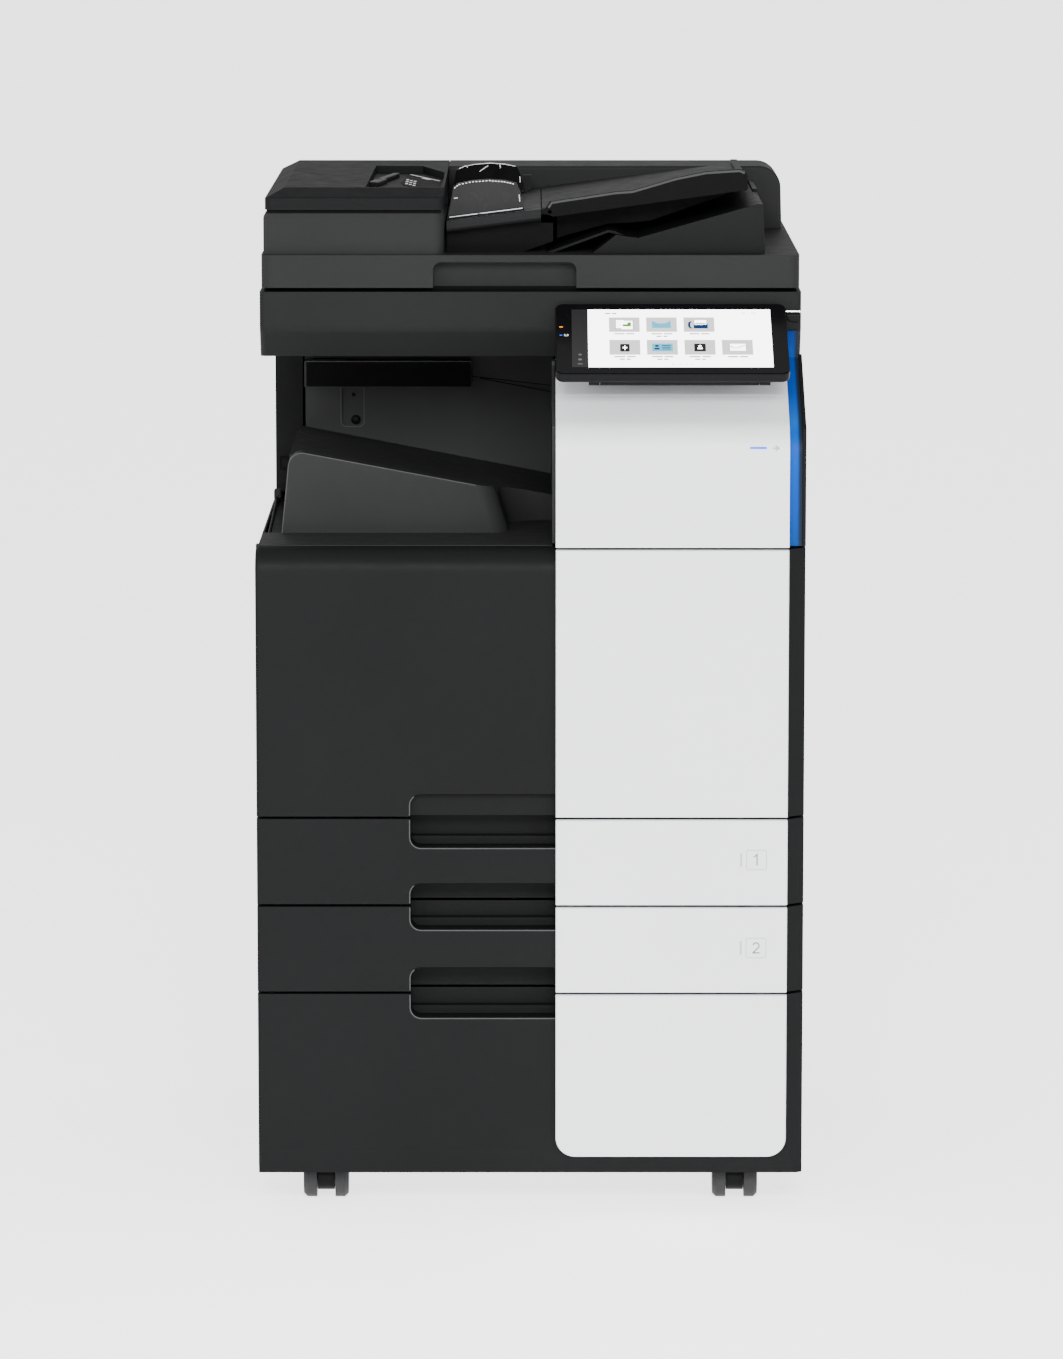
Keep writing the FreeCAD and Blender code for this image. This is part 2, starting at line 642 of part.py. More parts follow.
def lower_door():
    low = D.door_bottom + D.half_gap
    high = D.door_top - 1
    back = D.front + DOOR_DEPTH
    roll = 28.0
    left_profile = rectangle((D.front, back), (low, high))
    left = prism("lower_door_left", "YZ", left_profile, -D.side, D.plate_left)
    rounded(left, "lower_door_roll", roll - 1, lambda x, y, z: near(y, D.front) and near(z, high))
    rounded(left, "lower_door_edge", D.fascia_edge, lambda x, y, z: near(x, -D.side) and near(y, D.front))
    plan = [
        (D.plate_left, back), (D.plate_left, D.front), (D.plate_right + 2, D.front),
        (D.side, D.front + 12), (D.side, back),
    ]
    right = prism("lower_door_right", "XY", plan, low, high)
    # the back is open between the rims and round a middle rib
    rim = 4.0
    skin = 3.5
    hollows = [
        box("lower_door_hollow", (x_low, x_high), (D.front + skin, back + 1), (494, 722))
        for x_low, x_high in ((-D.side + rim, -140), (-136, 20), (34, 284))
    ]
    grip = prism("lower_door_grip", "XZ", rectangle((D.grip_left, D.plate_left), (low - 1, D.grip_top_1)),
                 D.front - 1, D.front + 10)
    rounded(grip, "lower_door_grip_corner", D.grip_corner,
            lambda x, y, z: near(x, D.grip_left) and near(z, D.grip_top_1))
    solid = fuse("lower_door_solid", left, right)
    cuts = pivot_cuts("lower_door", LOWER_AXIS_Z, low, back + 1)
    node(cut("lower_door_body", solid, grip, *hollows, *cuts), "lower_door")

    plate = prism("lower_door_plate_pad", "XZ", rectangle((D.plate_left, D.plate_right), (low, high - 0.5)),
                  D.plate_front, D.front)
    rounded(plate, "lower_door_plate_edge", D.plate_edge, lambda x, y, z: near(y, D.plate_front))
    cuts = pivot_cuts("lower_door_plate", LOWER_AXIS_Z, low, D.front + 1)
    node(cut("lower_door_plate_body", plate, *cuts), "lower_door_plate")


def upper_door():
    low = D.door_top + D.half_gap
    skin = 5.0
    end = D.door_lean_depth
    outer_end = (D.plate_front + end, D.kink_z + end.value * D.lean.value)
    lift = skin * (1 + D.lean.value ** 2) ** 0.5
    profile = [
        (D.plate_front, low), (D.plate_front, D.kink_z), outer_end,
        (outer_end[0], outer_end[1] - lift), (D.plate_front + skin, D.kink_z + skin * D.lean.value - lift),
        (D.plate_front + skin, low + 14), (D.front + 14, low + 14), (D.front + 14, low),
    ]
    left, right = D.plate_left, D.plate_right
    inner_bend = (D.plate_front + skin, D.kink_z + skin * D.lean.value - lift)
    bend = 36.0
    door = prism("upper_door_skin", "YZ", profile, left, right)
    rounded(door, "upper_door_inner_bend", bend,
            lambda x, y, z: near(y, inner_bend[0]) and near(z, inner_bend[1]))
    rounded(door, "upper_door_bend", bend + skin,
            lambda x, y, z: near(y, D.plate_front) and near(z, D.kink_z))
    rims = []
    for name, x_low, x_high in (("left", left, left + 3), ("right", right - 3, right)):
        rim_profile = [
            (D.plate_front + 2, low + 2), (D.plate_front + 2, D.kink_z - 28),
            (D.plate_front + 24, D.kink_z + 8),
            (outer_end[0] - 3, outer_end[1] - lift), (outer_end[0] - 10, outer_end[1] - 22),
            (D.front + 14, D.kink_z - 54), (D.front + 14, low + 2),
        ]
        rims.append(prism("upper_door_rim_" + name, "YZ", rim_profile, x_low, x_high))
    solid = fuse("upper_door_solid", door, *rims)
    cuts = pivot_cuts("upper_door", UPPER_AXIS_Z, low, D.front + 15)
    node(cut("upper_door_body", solid, *cuts), "upper_door")


def shoulder():
    """The fixed light cover behind the upper door, and the blue strip beside the door."""
    skin = 4.0
    start, end = D.door_lean_depth + 0.8, D.scan_front - D.plate_front
    outer_start = (D.plate_front + start, D.kink_z + start.value * D.lean.value)
    outer_end = (D.plate_front + end - 0.5, D.kink_z + end.value * D.lean.value)
    lift = skin * (1 + D.lean.value ** 2) ** 0.5
    profile = [outer_start, outer_end, (outer_end[0], outer_end[1] - lift),
               (outer_start[0], outer_start[1] - lift)]
    node(prism("shoulder_cover_body", "YZ", profile, D.plate_left, D.plate_right), "shoulder_cover")

    inset, thick = 16.0, 8.0
    low = D.door_top + D.half_gap
    face, back = D.plate_front + inset, D.plate_front + inset + thick
    rise = (end.value - inset) * D.lean.value
    # the strip's top end stands in front of the scanner's lower bevel
    rear = D.scan_front - 0.5
    strip = [
        (face, low), (face, D.kink_z), (rear, D.kink_z + rise), (rear, D.scan_bevel - 0.5),
        (rear + 0.8, D.scan_bevel - 0.5), (rear + 2.3, D.scan_bevel - 4), (rear + 16, D.scan_bevel - 24),
        (rear + 8, D.scan_bevel - 36), (back, D.kink_z - 3), (back, low),
    ]
    body = prism("accent_strip_body", "YZ", strip, D.plate_right + 0.5, D.side - 4)
    rounded(body, "accent_bend", 50, lambda x, y, z: near(y, face) and near(z, D.kink_z))
    node(body, "accent_strip")


def inner_front():
    """The inner cover that shows when the doors are open, with the fixed hinge ears on it."""
    face = D.fascia_back - 6
    back = D.fascia_back + 2
    lower = box("inner_lower", (-D.side + 6, PANEL_HALF_PLATE), (face, back), (452, 735.5))
    window = box("inner_window", (-215, 195), (face - 1, back + 1), (565, 695))
    seat = box("waste_seat", (-215, 195), (face - 1, face + 5), (470, 552))
    lower_ears, lower_pins = hinge_ears("lower_hinge", LOWER_AXIS_Z, face)
    posts = [box("inner_post", (low, high), (face, back), (735, 900)) for low,
             high in ((32, 37.5), (280.5, 285))]
    bridge = box("inner_bridge", (32, 285), (face, back), (735, 764))
    upper_ears, upper_pins = hinge_ears("upper_hinge", UPPER_AXIS_Z, face)
    solid = fuse("inner_front_solid", lower, bridge, *posts)
    opened = cut("inner_front_open", solid, window, seat)
    node(fuse("inner_front_body", opened, *lower_ears, *upper_ears, *lower_pins, *upper_pins),
         "inner_front_cover")


lower_door()
upper_door()
shoulder()
inner_front()


# ---------------------------------------------------------------- engine

def engine():
    node(box("waste_box", (-213, 193), (D.fascia_back - 8, D.fascia_back - 1.2), (472, 550)),
         "waste_toner_box")

    units = []
    pitch, width = 100.0, 88.0
    for place in range(4):
        left = -208.0 + place * pitch
        shell = box("unit_%d" % place, (left, left + width), (-288, 200), (575, 640))
        channel = rod("unit_channel_%d" % place, "Y", (left + width / 2, -240, 636), 400, 17)
        drum = rod("drum_%d" % place, "Y", (left + width / 2, -238, 636), 396, 15)
        shaft = rod("drum_shaft_%d" % place, "Y", (left + width / 2, -250, 636), 420, 3.5)
        units.append(fuse("unit_%d_solid" % place, cut("unit_shell_%d" % place, shell, channel), drum,
                          shaft))
    node(group("imaging_unit_set", *units), "imaging_units")

    cartridges = []
    pitch, width = 62.0, 56.0
    for place in range(4):
        left = 38.0 + place * pitch
        bottle = prism("toner_%d" % place, "XZ", rectangle((left, left + width), (768, 862)), -298, 40)
        rounded(bottle, "toner_edge_%d" % place, 12,
                lambda x, y, z: near(z, 862) and (near(x, left) or near(x, left + width)))
        cartridges.append(bottle)
    node(group("toner_cartridge_set", *cartridges), "toner_cartridges")

    belt_low, belt_high = 655.5, 695.5
    radius = (belt_high - belt_low) / 2
    middle = (belt_high + belt_low) / 2
    left, right = -195.0, 180.0

    def loop(name, r):
        flat = box(name + "_flat", (left, right), (-160, 160), (middle - r, middle + r))
        ends = [rod(name + "_end", "Y", (x, -160, middle), 320, r) for x in (left, right)]
        return fuse(name, flat, *ends)

    band = cut("belt_band", loop("belt_outer", radius), loop("belt_inner", radius - 1))
    rollers = [rod("belt_roller", "Y", (x, -160, middle), 320, radius - 1) for x in (left, right)]
    node(group("belt_set", band, *rollers), "transfer_belt")


FUSER_Z = 712.0
HEAT_X, PRESSURE_X = 232.0, 262.3


def fuser():
    frame = box("fuser_frame", (208, 285), (-190, 190), (690, 731))
    cavity = box("fuser_cavity", (213, 281), (-180, 180), (692, 732))
    bores = [rod("fuser_bore", "Y", (x, -191, FUSER_Z), 382, 5.1) for x in (HEAT_X, PRESSURE_X)]
    node(cut("fuser_housing_body", frame, cavity, *bores), "fuser_housing")
    for label, x in (("heat_roller", HEAT_X), ("pressure_roller", PRESSURE_X)):
        barrel = rod(label + "_barrel", "Y", (x, -170, FUSER_Z), 340, 15)
        shaft = rod(label + "_shaft", "Y", (x, -195, FUSER_Z), 390, 5)
        node(fuse(label + "_body", barrel, shaft), label)


engine()
fuser()


# ---------------------------------------------------------------- output bay

BED_HIGH, BED_LOW = 842.0, 784.5  # the output tray's bed at its left and right ends


def output_bay():
    ledge = box("ledge", (-D.side + 3.5, D.bay_right), (D.front + DOOR_DEPTH + 1, D.tray_front + 4),
                (736, D.door_top))
    corner = box("ledge_corner", (-D.side, -D.side + 5), (D.front + DOOR_DEPTH + 1, D.fascia_back + 1.5),
                 (736, D.door_top))
    wall_points = [(-284.5, 736), (-273.5, 849.6), (-40.1, 806.1), (-24.5, 755), (-18.7, 736)]
    wall = prism("tray_wall", "XZ", wall_points, D.tray_front, D.tray_front + 25)
    rounded(wall, "tray_wall_corner", 16, lambda x, y, z: near(x, -273.5) and near(z, 849.6))
    rounded(wall, "tray_wall_turn", 21, lambda x, y, z: near(y, D.tray_front) and x > -41 and z < 807)
    bed_points = [(-284.5, 736), (-273.9, BED_HIGH), (D.bay_right, BED_LOW), (D.bay_right, 736)]
    bed = prism("tray_bed", "XZ", bed_points, D.tray_front + 25, D.bay_back)
    hand_room = prism("tray_hand_room", "XZ", [(-40.1, 820), (-40.1, 806.1), (-24.5, D.door_top),
                                              (D.bay_right + 1, D.door_top), (D.bay_right + 1, 820)],
                      D.tray_front + 24, -70)
    rounded(hand_room, "hand_room_corner", 38, lambda x, y, z: near(y, -70) and x < -20 and z < 807)
    floor = box("pocket_floor", (-40, D.bay_right), (D.tray_front, D.tray_front + 25), (736, D.door_top))
    deck = box("bay_deck", (-D.side + 3.5, D.bay_right), (D.tray_front, 255.5), (736, 739))
    hollow = box("tray_hollow", (-274, -70), (D.tray_front + 30, D.bay_back - 6), (730, 790))
    solid = fuse("output_tray_solid", ledge, corner, wall, cut("tray_bed_open", bed, hand_room), floor, deck)
    node(cut("output_tray_body", solid, hollow), "output_tray")

    t = 3.0
    back_face = D.bay_back + 0.5
    back = box("bay_back_plate", (-267, D.bay_right), (back_face, back_face + 4.5), (739.5, D.scan_bottom))
    return_left = box("bay_return", (-267, -264), (back_face + 4, 255.7), (739.5, D.scan_bottom))
    right = box("bay_right_plate", (D.bay_right, D.bay_right + t), (D.front + DOOR_DEPTH + 1, 255.7),
                (D.door_top + 2, 951))
    hood = box("bay_hood", (-267, -70), (D.bay_back - 40, back_face + 1), (891.5, 922))
    slot_rail = box("bay_slot_rail", (-267, -70), (D.bay_back - 12, back_face + 1), (921, D.scan_bottom))
    flap = prism("bay_flap", "XZ", [(-71, 900.5), (-71, D.scan_bottom), (D.bay_right, D.scan_bottom),
                                     (D.bay_right, 889.5)], D.bay_back - 4, back_face + 1)
    flap_edge = prism("bay_flap_edge", "XZ", [(-71, 900.5), (D.bay_right, 890), (D.bay_right, 880.5)],
                      D.bay_back - 1.5, back_face + 1)
    solid = fuse("bay_cover_solid", back, return_left, right, hood, slot_rail, flap, flap_edge)
    port = prism("port_recess", "XZ", rectangle((-224.5, -198), (840.7, 893)), back_face - 1, back_face + 3)
    rounded(port, "port_corner", 6, lambda x, y, z: near(z, 840.7) and (near(x, -224.5) or near(x, -198)))
    exit_slot = box("exit_slot", (D.bay_right - 1, D.bay_right + 4), (-160, 135), (858, 888))
    trim_right = prism("bay_right_trim", "YZ", [
        (D.front, D.kink_z - 10), (D.front, 960), (D.scan_front, 960), (D.scan_front, 945)],
        D.bay_right - 1, D.bay_right + 4)
    node(cut("bay_cover_body", solid, port, exit_slot, trim_right), "bay_cover")


output_bay()


# ---------------------------------------------------------------- side door

def side_door():
    inner_x = 292.0
    shell = box("side_door_block", (inner_x, D.side), (-240, 240), (457, SIDE_TOP))
    hollow = box("side_door_hollow", (inner_x - 1, D.side - 3.5), (-236, 222), (868, SIDE_TOP - 4))
    recess = box("bypass_recess", (297.5, D.side + 1), (-172, 152), (498, 862))
    path = box("side_door_path", (inner_x - 1, inner_x + 2), (-170, 170), (470, 862))
    bore = rod("side_door_bore", "Z", (SIDE_AXIS_X, SIDE_AXIS_Y, 456), 20, 3 + 0.1)
    bore_top = rod("side_door_bore_top", "Z", (SIDE_AXIS_X, SIDE_AXIS_Y, SIDE_TOP - 19), 20, 3 + 0.1)
    edge = rod("side_door_round", "Z", (SIDE_AXIS_X, SIDE_AXIS_Y, 457), SIDE_TOP - 457, 7.5)
    corner = box("side_door_corner", (inner_x - 1, SIDE_AXIS_X + 9), (SIDE_AXIS_Y, 241), (456, SIDE_TOP + 1))
    body = cut("side_door_trimmed", shell, hollow, recess, path, corner)
    rounded_body = fuse("side_door_rounded", body, edge)
    sockets = [box("bypass_socket", (297.5, D.side - 0.1), (y, y + 12),
                   (499, BYPASS_Z + 4)) for y in (-170, 138)]
    socket_bore = rod("bypass_socket_bore", "Y", (BYPASS_X, -169, BYPASS_Z), 318, 2 + D.running_gap)
    solid = fuse("side_door_solid", rounded_body, *sockets)
    node(cut("side_door_body", solid, socket_bore, bore, bore_top), "right_door")

    plate = box("bypass_plate", (298.5, D.side), (-156, 136), (BYPASS_Z, 745))
    knuckle = rod("bypass_knuckle", "Y", (BYPASS_X, -156, BYPASS_Z), 292, 3)
    slot = box("bypass_slot", (301.6, 304.9), (-130, 110), (580, 746))
    pins = rod("bypass_pins", "Y", (BYPASS_X, -168, BYPASS_Z), 316, 2)
    grip = box("bypass_grip", (D.side - 2.2, D.side + 1), (-40, 20), (720, 746))
    plate_cut = cut("bypass_plate_cut", fuse("bypass_solid", plate, knuckle), slot, grip)
    node(fuse("bypass_tray_body", plate_cut, pins), "bypass_tray")
    node(box("bypass_slider", (302, 304.5), (-128, 108), (600, 739.5)), "bypass_extension")


side_door()


# ---------------------------------------------------------------- scanner

GLASS_X = (-238.0, 222.0)
GLASS_Y = (-150.0, 170.0)
GLASS_THICK = 4.0


def scanner():
    half = D.side - 1
    back = FRAME_BACK
    profile = [
        (D.scan_front, D.scan_bevel), (D.scan_front, D.scan_top), (back, D.scan_top),
        (back, D.scan_bottom), (D.scan_front + 22, D.scan_bottom),
    ]
    block = prism("scanner_block", "YZ", profile, -half, half)
    rounded(block, "scanner_bend", 14, lambda x, y, z: near(y, D.scan_front) and near(z, D.scan_bevel))
    rounded(block, "scanner_corner", 6, lambda x, y, z: near(y, D.scan_front) and near(abs(x), half))
    cavity_front, cavity_top, cavity_low = D.scan_front + 4, D.scan_top - 6, D.scan_bottom + 4
    pocket(block, "scanner_cavity", "YZ", [
        (cavity_front, D.scan_bevel + 1), (cavity_front, cavity_top), (back - 4, cavity_top),
        (back - 4, cavity_low), (D.scan_front + 25, cavity_low)], -half + 4, half - 4)
    seat = D.scan_top - GLASS_THICK
    pocket(block, "glass_seat", "XY", rectangle(GLASS_X, GLASS_Y), seat, D.scan_top + 1)
    lip = 6.0
    pocket(block, "glass_window", "XY", rectangle((GLASS_X[0] + lip, GLASS_X[1] - lip),
                                                  (GLASS_Y[0] + lip, GLASS_Y[1] - lip)), D.scan_top - 7,
                                                  seat + 1)
    pocket(block, "slit_seat", "XY", rectangle((-282, -258), GLASS_Y), seat, D.scan_top + 1)
    pocket(block, "slit_window", "XY", rectangle((-277, -263), (GLASS_Y[0] + lip, GLASS_Y[1] - lip)),
           D.scan_top - 7, seat + 1)
    rail = box("scan_rail", (-half + 4, half - 4), (0, 8), (D.scan_bottom + 4, D.scan_bottom + 14))
    node(fuse("scanner_housing_body", block, rail), "scanner_housing")

    main_pane = box("main_pane", GLASS_X, GLASS_Y, (seat, D.scan_top))
    slit_pane = box("slit_pane", (-282, -258), GLASS_Y, (seat, D.scan_top))
    node(group("glass_set", main_pane, slit_pane), "platen_glass")

    block = box("carriage_block", (-292, -250), (-150, 170), (D.scan_bottom + 14.3, D.scan_top - 12))
    groove = box("carriage_groove", (-293, -249), (-1, 9), (D.scan_bottom + 4, D.scan_bottom + 18))
    slit = box("carriage_slit", (-274, -268), (-140, 160), (D.scan_top - 30, D.scan_top - 11))
    node(cut("scan_carriage_body", block, groove, slit), "scan_carriage")


scanner()


# ---------------------------------------------------------------- touch panel

PANEL_TURN = (0.913545, 0.406737)  # cosine and sine of the panel's angle at rest, 24 degrees
LUG_LEFT, LUG_RIGHT, LUG_WIDE = 65.0, 255.0, 12.0


def panel_point(along, down):
    """A point of the panel's section: along from the front edge, down from the glass's face."""
    cosine, sine = PANEL_TURN
    y = D.panel_front + along * cosine + down * sine
    z = D.panel_edge_z + along * sine - down * cosine
    return (y, z)


def panel_place(y, z):
    """The opposite: how far along and down a point of the section lies."""
    cosine, sine = PANEL_TURN
    y, z = y - D.panel_front.value, z - D.panel_edge_z.value
    return (y * cosine + z * sine, y * sine - z * cosine)


def across_panel_end(x, y, z, sides, ends):
    """True on the four short edges across the thickness at the panel's corners."""
    along = panel_place(y, z)[0]
    return any(near(x, side) for side in sides) and any(near(along, end) for end in ends)


def panel():
    length = D.panel_length.value
    thick = D.panel_thickness.value
    glass = 2.0
    housing = prism("panel_slab", "YZ", [
        panel_point(0, glass), panel_point(length, glass), panel_point(length, thick), panel_point(0, thick),
    ], D.panel_left, D.panel_right)
    sides = (D.panel_left, D.panel_right)
    rounded(housing, "panel_corners", 9, lambda x, y, z: across_panel_end(x, y, z, sides, (0, length)))
    rounded(housing, "panel_under_edge", 5, lambda x, y, z: near(panel_place(y, z)[1], thick))
    pin_y, pin_z = D.panel_pin_y, D.panel_pin_z
    lugs = []
    for x in (LUG_LEFT, LUG_RIGHT):
        lugs.append(rod("panel_lug", "X", (x, pin_y, pin_z), LUG_WIDE, 6.3))
        lugs.append(prism("panel_web", "YZ", [
            (pin_y - 6, pin_z), (pin_y + 6, pin_z), panel_point(36, thick - 1), panel_point(22, thick - 1),
        ], x, x + LUG_WIDE))
    pin_long = LUG_RIGHT + LUG_WIDE - LUG_LEFT
    bore = rod("panel_bore", "X", (LUG_LEFT - 1, pin_y, pin_z), pin_long + 2, D.panel_pin + D.running_gap)
    node(cut("panel_housing_body", fuse("panel_solid", housing, *lugs), bore), "panel_housing")

    margin = 1.5
    left, right = D.panel_left + margin, D.panel_right - margin
    pane = prism("panel_pane", "YZ", [
        panel_point(margin, 0), panel_point(length - margin, 0), panel_point(length - margin, glass),
        panel_point(margin, glass),
    ], left, right)
    rounded(pane, "pane_corners", 8,
            lambda x, y, z: across_panel_end(x, y, z, (left, right), (margin, length - margin)))
    node(pane, "panel_glass")

    arm_left, arm_right = LUG_LEFT + LUG_WIDE + 0.5, LUG_RIGHT - 0.5
    barrel = rod("arm_barrel", "X", (arm_left, pin_y, pin_z), arm_right - arm_left, 6.3)
    slab = prism("arm_slab", "YZ", [
        (pin_y, pin_z - 6.3), (pin_y, pin_z + 5.2), (D.scan_front, 997), (D.scan_front, 972),
        (D.scan_front - 30, 958),
    ], arm_left, arm_right)
    tilt_pin = rod("panel_tilt_pin", "X", (LUG_LEFT + 0.5, pin_y, pin_z), pin_long - 1, D.panel_pin)
    node(fuse("panel_arm_body", barrel, slab, tilt_pin), "panel_arm")


panel()


# ---------------------------------------------------------------- document feeder

def lid():
    half = D.side - 3
    lid_plan = rectangle((-half, half), (D.scan_front, D.lid_back))
    base = prism("lid_block", "XY", lid_plan, D.lid_bottom, D.lid_top)
    rounded(base, "lid_corner", 12, lambda x, y, z: near(y, D.scan_front) and near(abs(x), half))
    pad_top = D.scan_top + 10
    pocket(base, "lid_hollow", "XY", rectangle((-half + 4, half - 4), (D.scan_front + 30, 290)),
           D.lid_bottom - 1, D.lid_top - 4)
    ribs = [box("lid_rib", (-half + 3, half - 3), (y, y + 3), (pad_top, D.lid_top - 3))
            for y in (-60, 60, 180)]
    ribs += [box("lid_cross_rib", (x, x + 3), (D.scan_front + 29, 291), (pad_top, D.lid_top - 3))
             for x in (-150, 0, 150)]
    grip_low, grip_high = D.lid_bottom - 1, D.lid_bottom + 29
    pocket(base, "lid_grip", "XZ", rectangle((-110, 52), (grip_low, grip_high)), D.scan_front - 1,
           D.scan_front + 24)
    rounded(base, "lid_grip_corner", 9,
            lambda x, y, z: (near(x, -110) or near(x, 52)) and near(z, grip_high))
    rear = prism("lid_rear_wall", "XZ", [
        (D.feeder_right + 0.5, D.lid_top - 1), (D.feeder_right + 0.5, D.top), (298, D.top),
        (300, D.lid_top - 1),
    ], 215, D.lid_back)
    rounded(rear, "rear_wall_corner", 26, lambda x, y, z: near(x, 298) and near(z, D.top))
    rounded(rear, "rear_wall_top", 4, lambda x, y, z: near(y, 215) and z > D.lid_top.value + 1)
    solid = fuse("lid_solid", base, rear, *ribs)
    hollow = box("rear_wall_hollow", (-90, 290), (220, D.lid_back - 4), (D.lid_bottom - 1, D.top - 34))
    notches, bores = [], []
    for x in HINGE_X:
        notches.append(box("hinge_notch", (x - 21, x + 21), (D.lid_hinge_y - 11, D.lid_back + 1),
                           (D.lid_bottom - 1, D.lid_hinge_z + 12)))
        bores.append(rod("hinge_bore", "X", (x - 31, D.lid_hinge_y, D.lid_hinge_z), 62, 4 + 0.1))
    bosses = [box("hinge_boss", (x - 34, x + 34), (D.lid_hinge_y - 10, D.lid_back),
                  (D.lid_bottom, D.lid_hinge_z + 14))
              for x in HINGE_X]
    opened = cut("lid_open", solid, hollow)
    bossed = fuse("lid_bossed", opened, *bosses)
    node(cut("adf_base_body", bossed, *notches, *bores), "adf_base")

    pad_half = half - 6
    node(box("platen_pad_body", (-pad_half, pad_half), (D.scan_front + 32, 286), (pad_top - 9, pad_top)),
         "platen_pad")


HINGE_X = (-190.0, 190.0)


def lid_hinges():
    found = []
    for x in HINGE_X:
        post = box("hinge_post", (x - 20, x + 20), (D.lid_hinge_y - 9, D.lid_hinge_y + 9),
                   (D.scan_top, D.lid_hinge_z))
        head = rod("hinge_head", "X", (x - 20, D.lid_hinge_y, D.lid_hinge_z), 40, 9)
        pin = rod("lid_pin", "X", (x - 29, D.lid_hinge_y, D.lid_hinge_z), 58, 4)
        found.append(fuse("hinge_block", post, head, pin))
    node(group("adf_hinge_pair", *found), "adf_hinges")


TAB_Y = (-140.0, 170.0)
ROLLER_X, ROLLER_Z = -117.0, 1116.0


def feeder():
    top = D.feeder_top
    plan = [
        (D.feeder_left, D.lid_top), (D.feeder_left, top), (D.feeder_right, top), (D.feeder_right, D.lid_top),
    ]
    body = prism("feeder_block", "XZ", plan, D.feeder_front, D.lid_back)
    rounded(body, "feeder_roll", 10, lambda x, y, z: near(x, D.feeder_left) and near(z, top))
    rounded(body, "feeder_front_corner", 12,
            lambda x, y, z: near(y, D.feeder_front) and near(x, D.feeder_right))
    mouth = box("feed_mouth", (-165, D.feeder_right + 1), (-150, 180), (1102, top + 1))
    well = box("feeder_well", (-285, -175), (-165, 200), (1080, top + 1))
    exit_slot = box("feeder_exit", (-140, D.feeder_right + 1), (-130, 165), (1075, 1087))
    slots = [box("tab_slot", (D.feeder_left - 1, -280), (y - 4, y + 4), (1099, top + 1)) for y in TAB_Y]
    roller_bore = rod("roller_bore", "Y", (ROLLER_X, -156, ROLLER_Z), 342, 3 + 0.1)
    cover_pin = rod("cover_hinge_pin", "Y", (D.cover_pivot_x, -152, D.cover_pivot_z), 334, 2)
    opened = cut("feeder_opened", body, mouth, well, exit_slot, *slots, roller_bore)
    node(fuse("feeder_body_solid", opened, cover_pin), "feeder_body")

    cover_front = D.scan_front
    left, right = D.feeder_left + 2, D.feeder_right
    profile = [
        (left, D.cover_bottom), (left, D.top - 10), (left + 21, D.top), (right, D.top),
        (right, D.cover_bottom),
    ]
    shell = prism("feeder_cover_block", "XZ", profile, cover_front, 326)
    rounded(shell, "cover_front_corner", 9,
            lambda x, y, z: near(y, cover_front) and (near(x, left) or near(x, right)) and z > 1100)
    front_slope = prism("cover_front_slope", "YZ", [
        (cover_front - 1, D.top - 10.3), (cover_front + 4, D.top - 8.2), (cover_front + 35, D.top),
        (cover_front + 35, D.top + 1), (cover_front - 1, D.top + 1)], left - 1, right + 1)
    under = box("cover_under", (left + 8, right - 5), (cover_front + 10, 318),
                (D.cover_bottom - 1, D.top - 12))
    lever_seat = prism("lever_seat", "XY", [
        (-187, -146), (-150, -152), (right - 3, -146), (right - 3, 100), (-128, 215), (-184, 222)],
        D.top - 8.5, D.top + 1)
    tabs = []
    for y in TAB_Y:
        tabs.append(rod("tab_round", "Y", (D.cover_pivot_x, y - 3, D.cover_pivot_z), 6, 6.5))
        tabs.append(box("tab_stem", (D.cover_pivot_x - 5, D.cover_pivot_x + 5), (y - 3, y + 3),
                        (D.cover_pivot_z, D.top - 11)))
    hinged = fuse("feeder_cover_solid", cut("feeder_cover_shell", shell, front_slope, under, lever_seat),
                  *tabs)
    tab_bore = rod("tab_bore", "Y", (D.cover_pivot_x, -160, D.cover_pivot_z), 350, 2 + 0.1)
    node(cut("feeder_cover_body", hinged, tab_bore), "feeder_cover")

    barrel = rod("roller_barrel", "Y", (ROLLER_X, -40, ROLLER_Z), 80, 10)
    shaft = rod("roller_shaft", "Y", (ROLLER_X, -154, ROLLER_Z), 338, 3)
    node(fuse("feed_roller_body", barrel, shaft), "feed_roller")


TABLE_LEFT, TABLE_RIGHT = -95.0, 12.0
TABLE_Z = 1107.5  # top of the feed table at its left edge


def slope_z(x, above=0.0):
    """Height of the document tray's surface, which rises to the right."""
    return TABLE_Z + (x - TABLE_LEFT) * D.feed_slope.value + above


TRAY_FRONT, TRAY_BACK = -156.0, 206.0
TRAY_PIVOT_X = 22.0


def feed_table(ears, pivot_z):
    """The fixed left part of the document tray, with a skirt under it and ears for the liftable part."""
    front, back = TRAY_FRONT, TRAY_BACK
    table = prism("feed_table_block", "XZ", [
        (TABLE_LEFT, slope_z(TABLE_LEFT)), (TABLE_RIGHT, slope_z(TABLE_RIGHT)),
        (TABLE_RIGHT, slope_z(TABLE_RIGHT, -12)), (TABLE_LEFT, slope_z(TABLE_LEFT, -12)),
    ], front - 6, back)
    groove = box("guide_groove", (-60, -48), (front + 8, back - 8), (1085, 1130))
    skirts = [prism("feed_skirt", "XZ", [
        (TABLE_LEFT, D.lid_top), (TABLE_LEFT, slope_z(TABLE_LEFT, -11)),
        (TABLE_RIGHT, slope_z(TABLE_RIGHT, -11)),
        (TABLE_RIGHT, 1104), (26, 1104), (26, 1083), (-8, D.lid_top)], low, high)
        for low, high in ((-140, -132), (back - 14, back))]
    block = box("rear_stop", (-8.5, 1), (168, 178), (slope_z(-8) - 3, slope_z(-8, 19)))
    tray_pin = rod("tray_pin", "Y", (TRAY_PIVOT_X, front + 8, pivot_z), back - front - 12, 2)
    node(fuse("feed_table_body", cut("feed_table_cut", table, groove), *skirts, block, *ears, tray_pin),
         "feed_table")


